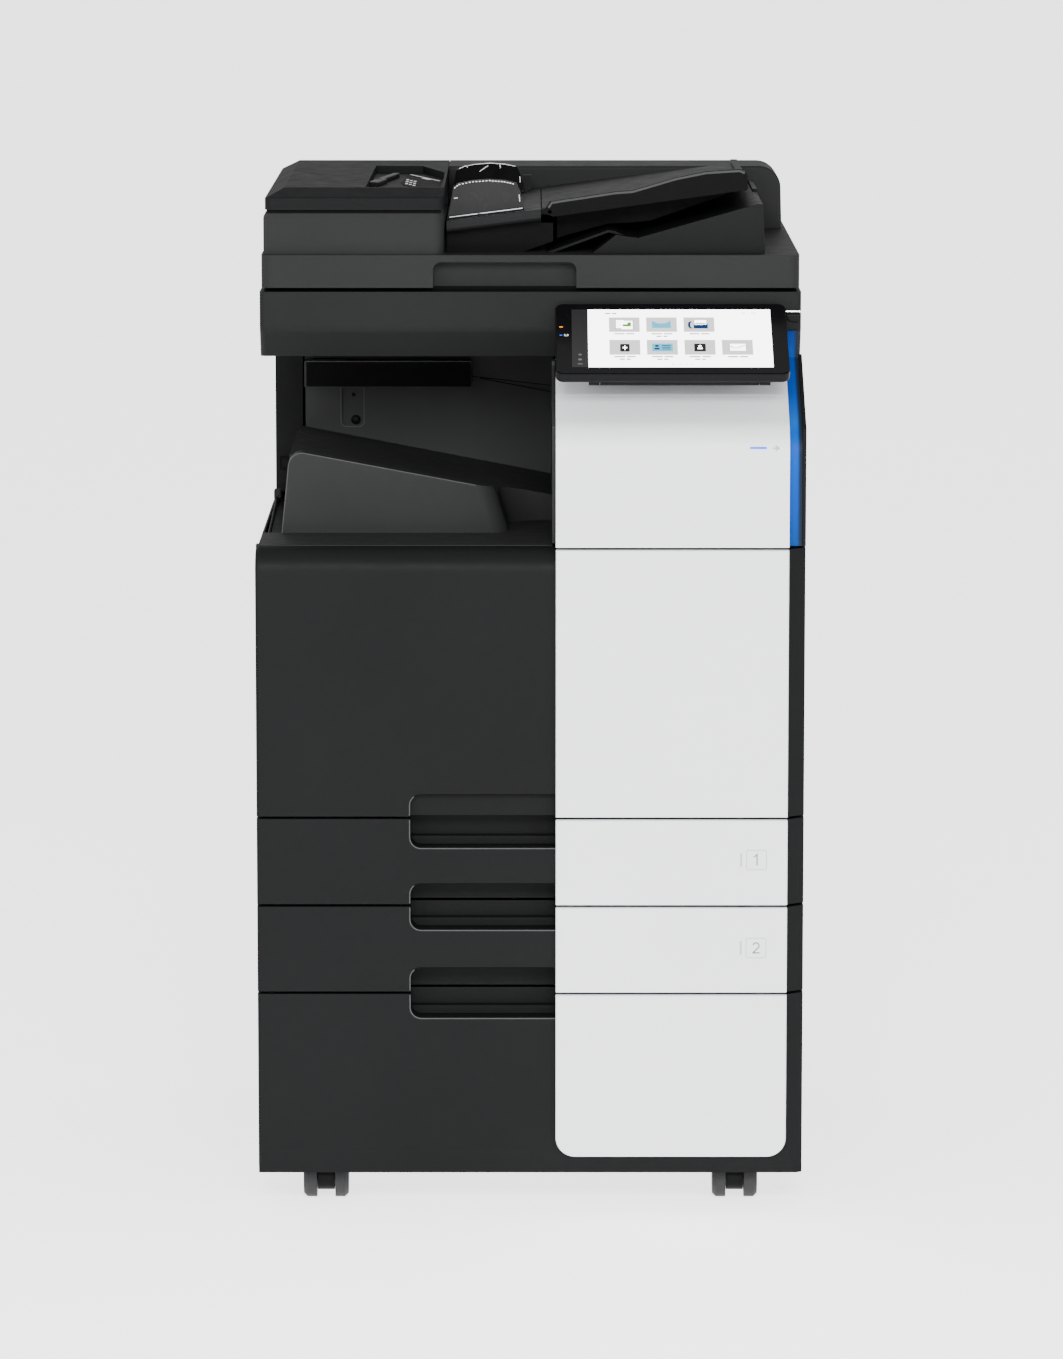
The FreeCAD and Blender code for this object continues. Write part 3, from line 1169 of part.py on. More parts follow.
def liftable_tray(notches, pivot_z):
    """The right part of the document tray: a plate, a raised rim along its front, and a body under it."""
    front, back = TRAY_FRONT, TRAY_BACK
    near_end, far = TABLE_RIGHT + 1, 246.0
    plate = prism("original_tray_plate", "XZ", [
        (near_end, slope_z(near_end)), (far, slope_z(far)), (far, slope_z(far, -7)),
        (TABLE_RIGHT + 14, slope_z(TABLE_RIGHT + 14, -10)), (near_end, slope_z(near_end, -4)),
    ], front, back)
    rim = prism("original_tray_rim", "XZ", [
        (near_end + 1, slope_z(near_end + 1, -1)), (17.8, 1123.3), (22.3, 1130.1), (97.1, 1141.4),
        (115.2, 1142.5),
        (165, 1157.2), (199, 1164), (237.4, 1166.4), (244.5, 1163), (far, 1156), (far, slope_z(far, -7)),
        (TABLE_RIGHT + 14, slope_z(TABLE_RIGHT + 14, -10)), (near_end + 1, slope_z(near_end + 1, -4)),
    ], front - 9, front + 1)
    end_stop = box("original_tray_stop", (far - 8, far), (front + 1, back),
                   (slope_z(far, -6), slope_z(far, 4)))
    under = prism("original_tray_under", "XZ", [
        (TABLE_RIGHT + 18, slope_z(TABLE_RIGHT + 18, -9)), (far - 4, slope_z(far - 4, -6)), (218, 1131),
        (137.6, 1103.4), (116.9, 1101.1), (89.3, 1099.9), (43.4, 1087.3), (30, 1083),
    ], -100, 190)
    hollow = prism("original_tray_hollow", "XZ", [
        (60, 1118), (200, 1134), (137.6, 1110), (89.3, 1105), (60, 1098)], -96, 186)
    pin_bore = rod("tray_pin_bore", "Y", (TRAY_PIVOT_X, front - 10, pivot_z), back - front + 12,
                   2 + D.running_gap)
    solid = fuse("original_tray_solid", plate, rim, end_stop, cut("original_tray_shell", under, hollow))
    node(cut("original_tray_body", solid, *notches, pin_bore), "original_tray")


def side_guides():
    for label, y, inward in (("guide_front", -138.0, 1), ("guide_rear", 150.0, -1)):
        left, right = -94.0, -7.0
        fin = prism(label + "_fin", "XZ", [
            (left, slope_z(left, 0.5)), (-89, 1136), (-87.8, 1144.5), (-82, 1148.8), (-66, 1152),
            (-47, 1153.4),
            (-30, 1152.2), (-15.5, 1149), (-11, 1138), (right, slope_z(right, 0.5)),
        ], y - 1.5, y + 1.5)
        foot_y = (y - 1.5, y + 16) if inward > 0 else (y - 16, y + 1.5)
        foot = prism(label + "_foot", "XZ", [
            (left, slope_z(left, 0.5)), (left, slope_z(left, 2)), (right, slope_z(right, 2)),
            (right, slope_z(right, 0.5))], *foot_y)
        key = box(label + "_key", (-59.7, -48.3), (y - 4, y + 4), (slope_z(-54, -9), slope_z(-54, 2)))
        node(fuse(label + "_body", fin, foot, key), label)


def exit_tray():
    """The wedge that catches the copied sheets, its end wall, and the stop flap in front of it."""
    front, back = -165.0, 190.0
    wedge = prism("exit_wedge", "XZ", [
        (70, D.lid_top), (97, 1091.9), (122, 1088.5), (258, 1127), (263.5, 1126.5), (266, D.lid_top)],
        front, back)
    end_wall = prism("exit_end_wall", "XZ", [
        (259, 1100), (258.5, 1130), (264, 1130), (266, 1100)], 40, back)
    flap = prism("exit_flap", "XZ", [
        (17.8, D.lid_top), (88.2, 1096.4), (95, 1095.3), (115.5, 1087.3), (114, 1085), (94, 1092.6),
        (88.5, 1093.4), (27, D.lid_top)], -150, 40)
    hollow = box("exit_hollow", (135, 250), (front + 4, back - 4), (D.lid_top - 1, 1087))
    node(cut("adf_exit_body", fuse("adf_exit_solid", wedge, end_wall, flap), hollow), "adf_exit_tray")


def document_trays():
    pivot_z = slope_z(TRAY_PIVOT_X, -4)
    ears, notches = [], []
    for y in (TRAY_FRONT + 6, TRAY_BACK - 8):
        ears.append(rod("tray_ear", "Y", (TRAY_PIVOT_X, y, pivot_z), 8, 5))
        ears.append(box("tray_ear_link", (TABLE_RIGHT - 4, TRAY_PIVOT_X), (y, y + 8),
                        (pivot_z - 4, pivot_z + 2)))
        notches.append(box("tray_ear_notch", (TABLE_RIGHT, TRAY_PIVOT_X + 6.5), (y - 1, y + 9),
                           (pivot_z - 20, pivot_z + 9)))
    feed_table(ears, pivot_z)
    liftable_tray(notches, pivot_z)
    side_guides()
    exit_tray()


lid()
lid_hinges()
feeder()
document_trays()


# ---------------------------------------------------------------- files

doc.recompute()
for thing in doc.Objects:
    if "Invalid" in thing.State or "Error" in thing.State:
        raise RuntimeError("%s did not recompute: %s" % (thing.Name, thing.State))
os.makedirs("parts", exist_ok=True)
for old in os.listdir("parts"):
    os.remove(os.path.join("parts", old))
for part in NODES:
    shape = part.Shape
    if shape.isNull() or not shape.isValid():
        raise RuntimeError(part.Label + " has no valid shape")
    shape.exportStep(os.path.join("parts", part.Label + ".step"))
print("%d nodes" % len(NODES))
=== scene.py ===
import bpy
import bmesh
import json
import math
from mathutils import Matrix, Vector


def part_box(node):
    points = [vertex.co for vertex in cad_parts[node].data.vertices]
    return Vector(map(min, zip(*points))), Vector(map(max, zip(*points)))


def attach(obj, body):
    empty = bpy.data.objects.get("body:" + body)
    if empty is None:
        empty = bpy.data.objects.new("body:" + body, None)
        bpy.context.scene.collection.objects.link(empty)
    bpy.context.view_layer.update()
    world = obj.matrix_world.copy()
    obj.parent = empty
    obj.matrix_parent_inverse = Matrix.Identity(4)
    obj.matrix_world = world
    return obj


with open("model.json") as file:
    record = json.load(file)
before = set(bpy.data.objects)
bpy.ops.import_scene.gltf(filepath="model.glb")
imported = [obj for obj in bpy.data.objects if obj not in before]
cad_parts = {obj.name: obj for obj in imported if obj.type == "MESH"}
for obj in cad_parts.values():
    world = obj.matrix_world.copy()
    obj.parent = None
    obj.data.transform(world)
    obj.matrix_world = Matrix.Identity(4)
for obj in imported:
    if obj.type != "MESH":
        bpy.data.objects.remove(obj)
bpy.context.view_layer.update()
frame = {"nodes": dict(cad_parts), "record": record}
nodes = frame["nodes"]
MM = 0.001


def box_mm(name):
    """(low, high) corners of a CAD node at rest, in mm."""
    low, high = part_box(name)
    return [value / MM for value in low], [value / MM for value in high]


# ------------------------------------------------------------ materials

def shader(name):
    mat = bpy.data.materials.new(name)
    mat.use_nodes = True
    tree = mat.node_tree
    tree.nodes.clear()
    out = tree.nodes.new("ShaderNodeOutputMaterial")
    body = tree.nodes.new("ShaderNodeBsdfPrincipled")
    tree.links.new(body.outputs[0], out.inputs[0])
    return mat, tree, body


def place_in(tree):
    return tree.nodes.new("ShaderNodeTexCoord").outputs["Object"]


def noise(tree, where, scale, detail=2.0):
    made = tree.nodes.new("ShaderNodeTexNoise")
    made.inputs["Scale"].default_value = scale
    made.inputs["Detail"].default_value = detail
    tree.links.new(where, made.inputs["Vector"])
    return made.outputs["Fac"]


def ramp(tree, value, low, high, to_low, to_high):
    made = tree.nodes.new("ShaderNodeMapRange")
    made.inputs["From Min"].default_value = low
    made.inputs["From Max"].default_value = high
    made.inputs["To Min"].default_value = to_low
    made.inputs["To Max"].default_value = to_high
    tree.links.new(value, made.inputs["Value"])
    return made.outputs[0]


def tint(tree, value, low_colour, high_colour):
    """Colours from low_colour at 0 to high_colour at 1; each is three numbers or another node's output."""
    made = tree.nodes.new("ShaderNodeMix")
    made.data_type = "RGBA"
    for socket, colour in ((made.inputs[6], low_colour), (made.inputs[7], high_colour)):
        if isinstance(colour, (tuple, list)):
            socket.default_value = (*colour, 1)
        else:
            tree.links.new(colour, socket)
    tree.links.new(value, made.inputs[0])
    return made.outputs[2]


def combine(tree, operation, first, second):
    made = tree.nodes.new("ShaderNodeMath")
    made.operation = operation
    for socket, value in ((made.inputs[0], first), (made.inputs[1], second)):
        if isinstance(value, (int, float)):
            socket.default_value = value
        else:
            tree.links.new(value, socket)
    return made.outputs[0]


def axes(tree, where):
    split = tree.nodes.new("ShaderNodeSeparateXYZ")
    tree.links.new(where, split.inputs[0])
    return split.outputs


def moulded(tree, where, colour, spread):
    """A colour that drifts slowly over the surface by a few percent."""
    slow = noise(tree, where, 5.0, 3.0)
    darker = [c * (1 - spread) for c in colour]
    lighter = [min(1.0, c * (1 + spread)) for c in colour]
    return tint(tree, ramp(tree, slow, 0.3, 0.7, 0, 1), darker, lighter)


def plastic(name, colour, roughness, grain=0.05, grain_scale=900.0, spread=0.06, coat=0.0, specular=0.5,
            shade=None):
    """Moulded plastic: a fine moulded grain, slow changes of tone, and patches that shine a little more.
    shade(tree, where) may give a painted-shade factor from 0 to 1, and the colour then falls to a fifth where
    it is 0."""
    mat, tree, body = shader(name)
    where = place_in(tree)
    fine = noise(tree, where, grain_scale, 2.0)
    mid = noise(tree, where, 60.0, 3.0)
    tone = moulded(tree, where, colour, spread)
    if shade:
        tone = tint(tree, shade(tree, where), [c * 0.2 for c in colour], tone)
    tree.links.new(tone, body.inputs["Base Color"])
    tree.links.new(ramp(tree, mid, 0.25, 0.75, roughness - 0.04, roughness + 0.05), body.inputs["Roughness"])
    body.inputs["Specular IOR Level"].default_value = specular
    body.inputs["Coat Weight"].default_value = coat
    body.inputs["Coat Roughness"].default_value = 0.12
    if grain:
        bump = tree.nodes.new("ShaderNodeBump")
        bump.inputs["Strength"].default_value = grain
        bump.inputs["Distance"].default_value = 0.0003
        tree.links.new(fine, bump.inputs["Height"])
        tree.links.new(bump.outputs[0], body.inputs["Normal"])
    return mat


def metal(name, colour, roughness):
    """Metal with fine streaks along X."""
    mat, tree, body = shader(name)
    stretch = tree.nodes.new("ShaderNodeMapping")
    stretch.inputs["Scale"].default_value = (1, 60, 60)
    tree.links.new(place_in(tree), stretch.inputs["Vector"])
    streaks = noise(tree, stretch.outputs[0], 20.0, 4.0)
    tree.links.new(tint(tree, streaks, [c * 0.85 for c in colour], colour), body.inputs["Base Color"])
    tree.links.new(ramp(tree, streaks, 0.2, 0.8, roughness - 0.08, roughness + 0.1), body.inputs["Roughness"])
    body.inputs["Metallic"].default_value = 1.0
    return mat


def glow(name, colour, strength):
    """A lit area of the screen or of a lamp, with a faint unevenness of its backlight."""
    mat, tree, body = shader(name)
    uneven = noise(tree, place_in(tree), 9.0, 1.0)
    tree.links.new(tint(tree, uneven, [c * 0.97 for c in colour], colour), body.inputs["Emission Color"])
    body.inputs["Emission Strength"].default_value = strength
    body.inputs["Base Color"].default_value = (*[c * 0.05 for c in colour], 1)
    body.inputs["Roughness"].default_value = 0.35
    body.inputs["Specular IOR Level"].default_value = 0.2
    return mat


def glass(name):
    """Faintly green glass with a few smears."""
    mat, tree, body = shader(name)
    smear = noise(tree, place_in(tree), 14.0, 3.0)
    body.inputs["Base Color"].default_value = (0.35, 0.42, 0.42, 1)
    body.inputs["Transmission Weight"].default_value = 0.7
    tree.links.new(ramp(tree, smear, 0.3, 0.7, 0.03, 0.08), body.inputs["Roughness"])
    return mat


BLUE_FOOT = (0.0, 0.036, 0.19)
BLUE_MID = (0.0, 0.044, 0.27)
BLUE_BRIGHT = (0.0, 0.062, 0.36)
# painted highlight band where the strip's profile bends
BLUE_KINK_HIGHLIGHT = (0.006, 0.085, 0.38)
# painted shade at the strip's top, under the panel
BLUE_TOP_SHADE = (0.0, 0.018, 0.12)
BLUE_SIDE = (0.010, 0.016, 0.028)  # towards the machine's right side
BLUE_STEPS = [(0.0, BLUE_FOOT), (0.2, BLUE_MID), (0.55, BLUE_BRIGHT), (0.6, BLUE_KINK_HIGHLIGHT), (0.66, BLUE_BRIGHT),
              (0.85, BLUE_MID), (1.0, BLUE_TOP_SHADE)]  # painted light from the strip's foot (0) to its top (1): darker towards the foot, a painted highlight band at the kink, painted shade at the top under the panel


def blue_plastic():
    """Blue moulding: vivid on its left part and dark towards the right side, with painted light along its
    height: a highlight band at the kink and painted shade at its top end under the panel.
    """
    mat, tree, body = shader("blue plastic with painted light")
    where = place_in(tree)
    spot = axes(tree, where)
    low, high = box_mm("accent_strip")
    level = ramp(tree, spot["Z"], low[2] * MM, high[2] * MM, 0, 1)
    colours = tree.nodes.new("ShaderNodeValToRGB")
    first, last = colours.color_ramp.elements
    for end, (place, colour) in ((first, BLUE_STEPS[0]), (last, BLUE_STEPS[-1])):
        end.position = place
        end.color = (*colour, 1)
    for place, colour in BLUE_STEPS[1:-1]:
        colours.color_ramp.elements.new(place).color = (*colour, 1)
    tree.links.new(level, colours.inputs[0])
    fade_start = low[0] + 0.56 * (high[0] - low[0])
    fade_end = high[0] - 2.5
    across = ramp(tree, spot["X"], fade_start * MM, fade_end * MM, 1, 0)
    across.node.interpolation_type = "SMOOTHSTEP"
    tone = tint(tree, across, BLUE_SIDE, colours.outputs[0])
    tree.links.new(tone, body.inputs["Base Color"])
    fine = noise(tree, where, 700.0)
    tree.links.new(ramp(tree, fine, 0.3, 0.7, 0.34, 0.42), body.inputs["Roughness"])
    body.inputs["Specular IOR Level"].default_value = 0.04
    return mat


TABLE_SLOPE = 0.124  # rise of the document tray to the right
TABLE_ZERO = 1.1193  # height of its surface over the middle of the machine
TABLE_SKIN = (0.0105, 0.0085)  # painted shade: the upper colour fades out between these depths under the surface
RIM_FACE = (-0.1649, -0.1640)  # Y just behind the front face of the document tray's rim
LEDGE_TOP = (0.7395, 0.752)  # heights over which the ledge's painted shade gives way to the output tray's colour


def tray_painted_shade(tree, where):
    """Painted shade: 1 on top of the document tray and 0 on what hangs under it; the front face of its rim is
    darkened too.
    """
    spot = axes(tree, where)
    sloping = combine(tree, "MULTIPLY", spot["X"], TABLE_SLOPE)
    above = combine(tree, "SUBTRACT", spot["Z"], sloping)
    on_top = ramp(tree, above, TABLE_ZERO - TABLE_SKIN[0], TABLE_ZERO - TABLE_SKIN[1], 0, 1)
    behind = ramp(tree, spot["Y"], *RIM_FACE, 0, 1)
    return combine(tree, "MULTIPLY", on_top, behind)


def ledge_painted_shade(tree, where):
    """Painted shade: 1 on the output tray, 0.35 on the ledge in front of it."""
    return ramp(tree, axes(tree, where)["Z"], *LEDGE_TOP, 0.35, 1)


MATT = 0.035  # specular level of the machine's dark plastics, which have a fine matt texture
DARK = plastic("dark plastic", (0.0066, 0.0068, 0.0070), 0.44, 0.06, specular=MATT)
DARK_SCAN = plastic("scanner plastic", (0.0098, 0.0102, 0.0103), 0.46, 0.06, specular=MATT)
DARK_SOFT = plastic("dark plastic, softer sheen", (0.0142, 0.0149, 0.0145), 0.5, 0.08, specular=MATT)
# Painted shade: darker than the feeder body's plastic to offset the light falling on the cover's top.
DARK_TOP = plastic("feeder cover plastic, painted darker", (0.0074, 0.0076, 0.0079), 0.5, 0.08, specular=0.02)
# Its colour carries painted shade on what hangs under the document tray.
DARK_TRAY = plastic("document tray plastic with painted shade", (0.0105, 0.0107, 0.0112), 0.46, 0.06, specular=0.03,
                    shade=tray_painted_shade)
# Painted light: the bay's dark plastic made several times lighter to make up for the dim light inside the
# bay.
BAY_PAINTED_LIGHT = plastic("inner bay plastic, painted lighter", (0.0245, 0.0256, 0.0250), 0.5, 0.05, specular=0.05)
# Its colour carries painted shade on the ledge in front of the output tray.
BAY_TRAY = plastic("output tray plastic with painted ledge shade", (0.0180, 0.0187, 0.0183), 0.5, 0.06, specular=0.04,
                   shade=ledge_painted_shade)
DEEP = plastic("deep black", (0.0022, 0.0022, 0.0023), 0.6, 0.05, specular=0.03)
BLACK = plastic("black plastic", (0.0052, 0.0052, 0.0056), 0.38, 0.04, specular=0.05)
GLOSS = plastic("gloss black", (0.003, 0.003, 0.0034), 0.2, 0.0, specular=0.05)
SMOKE = plastic("smoky gloss plastic", (0.014, 0.014, 0.0145), 0.24, 0.0, specular=0.08)
# Painted highlight: a light grey laid along edges where they catch the light.
PAINTED_HIGHLIGHT = plastic("painted edge highlight grey", (0.048, 0.049, 0.050), 0.5, 0.05, specular=0.05)
# Painted highlight along the top of the document tray's front lip.
LIP_HIGHLIGHT = plastic("document tray lip highlight", (0.030, 0.031, 0.031), 0.42, 0.05, specular=0.08)
LIGHT = plastic("light plastic", (0.68, 0.69, 0.71), 0.42, 0.025, spread=0.012, specular=0.4)
GREY = plastic("grey plastic", (0.22, 0.23, 0.24), 0.48, 0.05)
WHITE_PAD = plastic("white pad", (0.82, 0.82, 0.81), 0.75, 0.15, 400.0, 0.02)
RUBBER = plastic("rubber", (0.012, 0.012, 0.013), 0.66, 0.2, 500.0, specular=0.3)
CLEAR = plastic("waste box plastic", (0.45, 0.47, 0.48), 0.35, 0.03)
STEEL = metal("zinc plated steel", (0.36, 0.37, 0.38), 0.42)
CHROME = metal("polished steel", (0.85, 0.85, 0.86), 0.14)
BELT = plastic("belt film", (0.03, 0.022, 0.02), 0.22, 0.0, coat=0.3)
GLASS = glass("platen glass")
BLUE = blue_plastic()
PRINT_GREY = plastic("grey print", (0.13, 0.133, 0.14), 0.5, 0.0)
PRINT_FAINT = plastic("faint grey print", (0.36, 0.365, 0.38), 0.5, 0.0)
PRINT_WHITE = plastic("white print", (0.62, 0.62, 0.62), 0.5, 0.0, spread=0.1)

BY_SLOT = {
    "dark_plastic": DARK, "black_plastic": BLACK, "grey_plastic": GREY, "light_plastic": LIGHT,
    "blue_plastic": BLUE, "clear_plastic": CLEAR, "white_pad": WHITE_PAD, "steel": STEEL, "rubber": RUBBER,
    "belt_film": BELT, "glass": GLASS, "screen_glass": GLOSS,
}
BY_NODE = {
    "bay_cover": BAY_PAINTED_LIGHT, "output_tray": BAY_TRAY, "scanner_housing": DARK_SCAN, "adf_base": DARK_SOFT,
    "feeder_body": DARK_SOFT, "feeder_cover": DARK_TOP, "adf_exit_tray": DARK,
    "panel_housing": BLACK, "guide_front": SMOKE, "guide_rear": GLOSS, "feed_table": DARK_TRAY,
    "original_tray": DARK_TRAY,
}


# ------------------------------------------------------------ carried-over CAD nodes

EDGE = {  # edge softening in mm where it isn't the usual 0.9
    "panel_glass": 0.4, "platen_glass": 0.4, "transfer_belt": 0.0, "heat_roller": 0.5, "pressure_roller": 0.5,
    "power_inlet": 0.3, "guide_front": 0.6, "guide_rear": 0.6, "main_frame": 0.4, "cabinet_frame": 0.4,
    "tray_1_lift_plate": 0.3, "tray_2_lift_plate": 0.3, "upper_door": 0.5, "shoulder_cover": 0.3,
    "storage_drawer_front": 1.3, "tray_1_front": 1.3, "tray_2_front": 1.3, "lower_door": 1.3,
    "feeder_cover": 2.0, "feeder_body": 1.6,
}


def soften(obj, width):
    """Welds the mesh's doubled corners, rounds its sharp edges, and shades it smoothly."""
    weld = obj.modifiers.new("weld", "WELD")
    weld.merge_threshold = 0.00002
    if width:
        bevel = obj.modifiers.new("edges", "BEVEL")
        bevel.width = width * MM
        bevel.segments = 3
        bevel.limit_method = "ANGLE"
        bevel.angle_limit = math.radians(32)
        bevel.use_clamp_overlap = True
        bevel.harden_normals = False
    weight = obj.modifiers.new("shading", "WEIGHTED_NORMAL")
    weight.keep_sharp = True
    weight.weight = 80


for entry in frame["record"]["subparts"]:
    name = entry["node"]
    obj = nodes[name]
    obj.data.materials.clear()
    obj.data.materials.append(BY_NODE.get(name, BY_SLOT[entry["material_slot"]]))
    soften(obj, EDGE.get(name, 0.9))


# ------------------------------------------------------------ mesh helpers

class Plane:
    """A flat working plane: u runs across it and v up it, in mm, and h is the height above it."""

    def __init__(self, origin, across, up):
        self.origin = Vector(origin)
        self.across = Vector(across).normalized()
        self.up = Vector(up).normalized()
        self.out = self.across.cross(self.up)

    def at(self, u, v, h):
        return (self.origin + self.across * u + self.up * v + self.out * h) * MM


def facing_front(y):
    return Plane((0, y, 0), (1, 0, 0), (0, 0, 1))


def facing_up(z):
    return Plane((0, 0, z), (1, 0, 0), (0, 1, 0))


def rect(u0, u1, v0, v1):
    return [(u0, v0), (u1, v0), (u1, v1), (u0, v1)]


def arc(u, v, radius, start, end, steps):
    """Points on an arc about (u, v), from one angle in degrees to another."""
    turns = [math.radians(start + (end - start) * i / steps) for i in range(steps + 1)]
    return [(u + radius * math.cos(a), v + radius * math.sin(a)) for a in turns]


def round_rect(u0, u1, v0, v1, radius):
    corners = ((u1 - radius, v0 + radius, -90), (u1 - radius, v1 - radius, 0),
               (u0 + radius, v1 - radius, 90), (u0 + radius, v0 + radius, 180))
    return [spot for u, v, start in corners for spot in arc(u, v, radius, start, start + 90, 6)]


def circle(u, v, radius, steps=28):
    return arc(u, v, radius, 0, 360, steps)[:-1]


def ribbon(points, width):
    """The outline of a line of that width drawn through the points, with mitred turns and square ends."""
    spots = [Vector(p) for p in points]
    left, right = [], []
    for i, spot in enumerate(spots):
        before = (spot - spots[i - 1]).normalized() if i else (spots[1] - spot).normalized()
        after = (spots[i + 1] - spot).normalized() if i < len(spots) - 1 else before
        middle = (before + after).normalized()
        side = Vector((-middle.y, middle.x))
        reach = width / 2 / max(0.4, middle.dot(after))
        left.append(tuple(spot + side * reach))
        right.append(tuple(spot - side * reach))
    return left + right[::-1]


def add_prism(bm, plane, outline, low, high):
    """A closed slab over the outline, between two heights above the plane."""
    bottom = [bm.verts.new(plane.at(u, v, low)) for u, v in outline]
    top = [bm.verts.new(plane.at(u, v, high)) for u, v in outline]
    bm.faces.new(bottom[::-1])
    bm.faces.new(top)
    for i in range(len(outline)):
        j = (i + 1) % len(outline)
        bm.faces.new((bottom[i], bottom[j], top[j], top[i]))


def add_ring(bm, plane, outer, inner, low, high):
    """A closed frame between two outlines with the same number of points."""
    rings = [[bm.verts.new(plane.at(u, v, h)) for u, v in line]
             for line, h in ((outer, low), (outer, high), (inner, high), (inner, low))]
    count = len(outer)
    for i in range(count):
        j = (i + 1) % count
        for k in range(4):
            first, second = rings[k], rings[(k + 1) % 4]
            bm.faces.new((first[i], first[j], second[j], second[i]))


def piece(name, bm, mat, body, edge=0.0):
    """Turns the mesh into an object that moves with a CAD body."""
    bmesh.ops.recalc_face_normals(bm, faces=bm.faces)
    name = name.replace(" ", "_")
    mesh = bpy.data.meshes.new(name)
    bm.to_mesh(mesh)
    bm.free()
    obj = bpy.data.objects.new(name, mesh)
    mesh.materials.append(mat)
    bpy.context.scene.collection.objects.link(obj)
    soften(obj, edge)
    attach(obj, body)
    return obj


def slabs(name, plane, outlines, low, high, mat, body, edge=0.0, rings=()):
    """Flat shapes of one material on a plane, and frames given as pairs of outlines, joined in one piece."""
    bm = bmesh.new()
    for outline in outlines:
        add_prism(bm, plane, outline, low, high)
    for outer, inner in rings:
        add_ring(bm, plane, outer, inner, low, high)
    return piece(name, bm, mat, body, edge)


def tube(name, points, radius, mat, body):
    """A round bar along straight runs through the points, which are in mm."""
    name = name.replace(" ", "_")
    curve = bpy.data.curves.new(name, "CURVE")
    curve.dimensions = "3D"
    curve.bevel_depth = radius * MM
    curve.bevel_resolution = 5
    curve.use_fill_caps = True
    line = curve.splines.new("POLY")
    line.points.add(len(points) - 1)
    for spot, place in zip(line.points, points):
        spot.co = (*(Vector(place) * MM), 1)
    obj = bpy.data.objects.new(name, curve)
    curve.materials.append(mat)
    bpy.context.scene.collection.objects.link(obj)
    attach(obj, body)
    return obj


def lathe(name, profile, centre, axis, mat, body):
    """A turned piece: profile is (radius, place along the axis) in mm, from one end to the other."""
    across = {"X": ((0, 1, 0), (0, 0, 1), (1, 0, 0)), "Y": ((0, 0, 1), (1, 0, 0), (0, 1, 0)),
              "Z": ((1, 0, 0), (0, 1, 0), (0, 0, 1))}[axis]
    side, up, along = [Vector(v) for v in across]
    steps = 40
    bm = bmesh.new()
    rows = []
    for radius, place in profile:
        spots = []
        for i in range(steps):
            turn = 2 * math.pi * i / steps
            spot = Vector(centre) + along * place + (side * math.cos(turn) + up * math.sin(turn)) * radius
            spots.append(bm.verts.new(spot * MM))
        rows.append(spots)
    for first, second in zip(rows, rows[1:]):
        for i in range(steps):
            j = (i + 1) % steps
            bm.faces.new((first[i], first[j], second[j], second[i]))
    bm.faces.new(rows[0][::-1])
    bm.faces.new(rows[-1])
    return piece(name, bm, mat, body)


# ------------------------------------------------------------ touch panel

SCREEN_WHITE = glow("screen white", (0.97, 0.975, 1.0), 7.0)
SCREEN_TILE = glow("screen tile grey", (0.70, 0.70, 0.71), 2.1)
SCREEN_GREY = glow("screen grey", (0.22, 0.22, 0.23), 0.9)
SCREEN_STRIP = glow("screen side strip", (0.030, 0.028, 0.030), 1.0)
SCREEN_SKY = glow("screen light blue", (0.10, 0.50, 0.72), 1.9)
SCREEN_NAVY = glow("screen navy", (0.012, 0.05, 0.20), 1.0)
SCREEN_DARK = glow("screen black", (0.022, 0.022, 0.024), 1.0)
SCREEN_GREEN = glow("screen green", (0.10, 0.42, 0.01), 1.3)
SCREEN_RED = glow("screen orange", (0.72, 0.10, 0.02), 1.2)
LAMP_ORANGE = glow("orange lamp", (1.0, 0.30, 0.02), 3.0)
LAMP_BLUE = glow("blue lamp", (0.03, 0.10, 1.0), 3.2)

SLOPE = math.radians(24.0)  # of the panel at rest
HOUSING_DEPTH = 158.0  # of the panel's housing, along its slope
GLASS_MARGIN = 1.5  # from the glass's edge to the housing's
DISPLAY_LEFT, DISPLAY_RIGHT, DISPLAY_BOTTOM, DISPLAY_TOP = 46.4, 270.0, 12.5, 143.7  # on the glass
DISPLAY_STRIP = 0.0815  # the dark strip's share of the display
FILM, LAYER_STEP, LOWEST_LAYER = 0.08, 0.09, 0.05  # a drawn shape's thickness and the heights of the layers

COLUMNS = [(0.187, 0.341), (0.374, 0.528), (0.562, 0.716), (0.749, 0.903)]
ROWS = [(0.139, 0.392), (0.532, 0.788)]
NO_TILE = (0, 3)
TWO_LINE_CAPTIONS = ((0, 1), (1, 0), (1, 1), (1, 2))


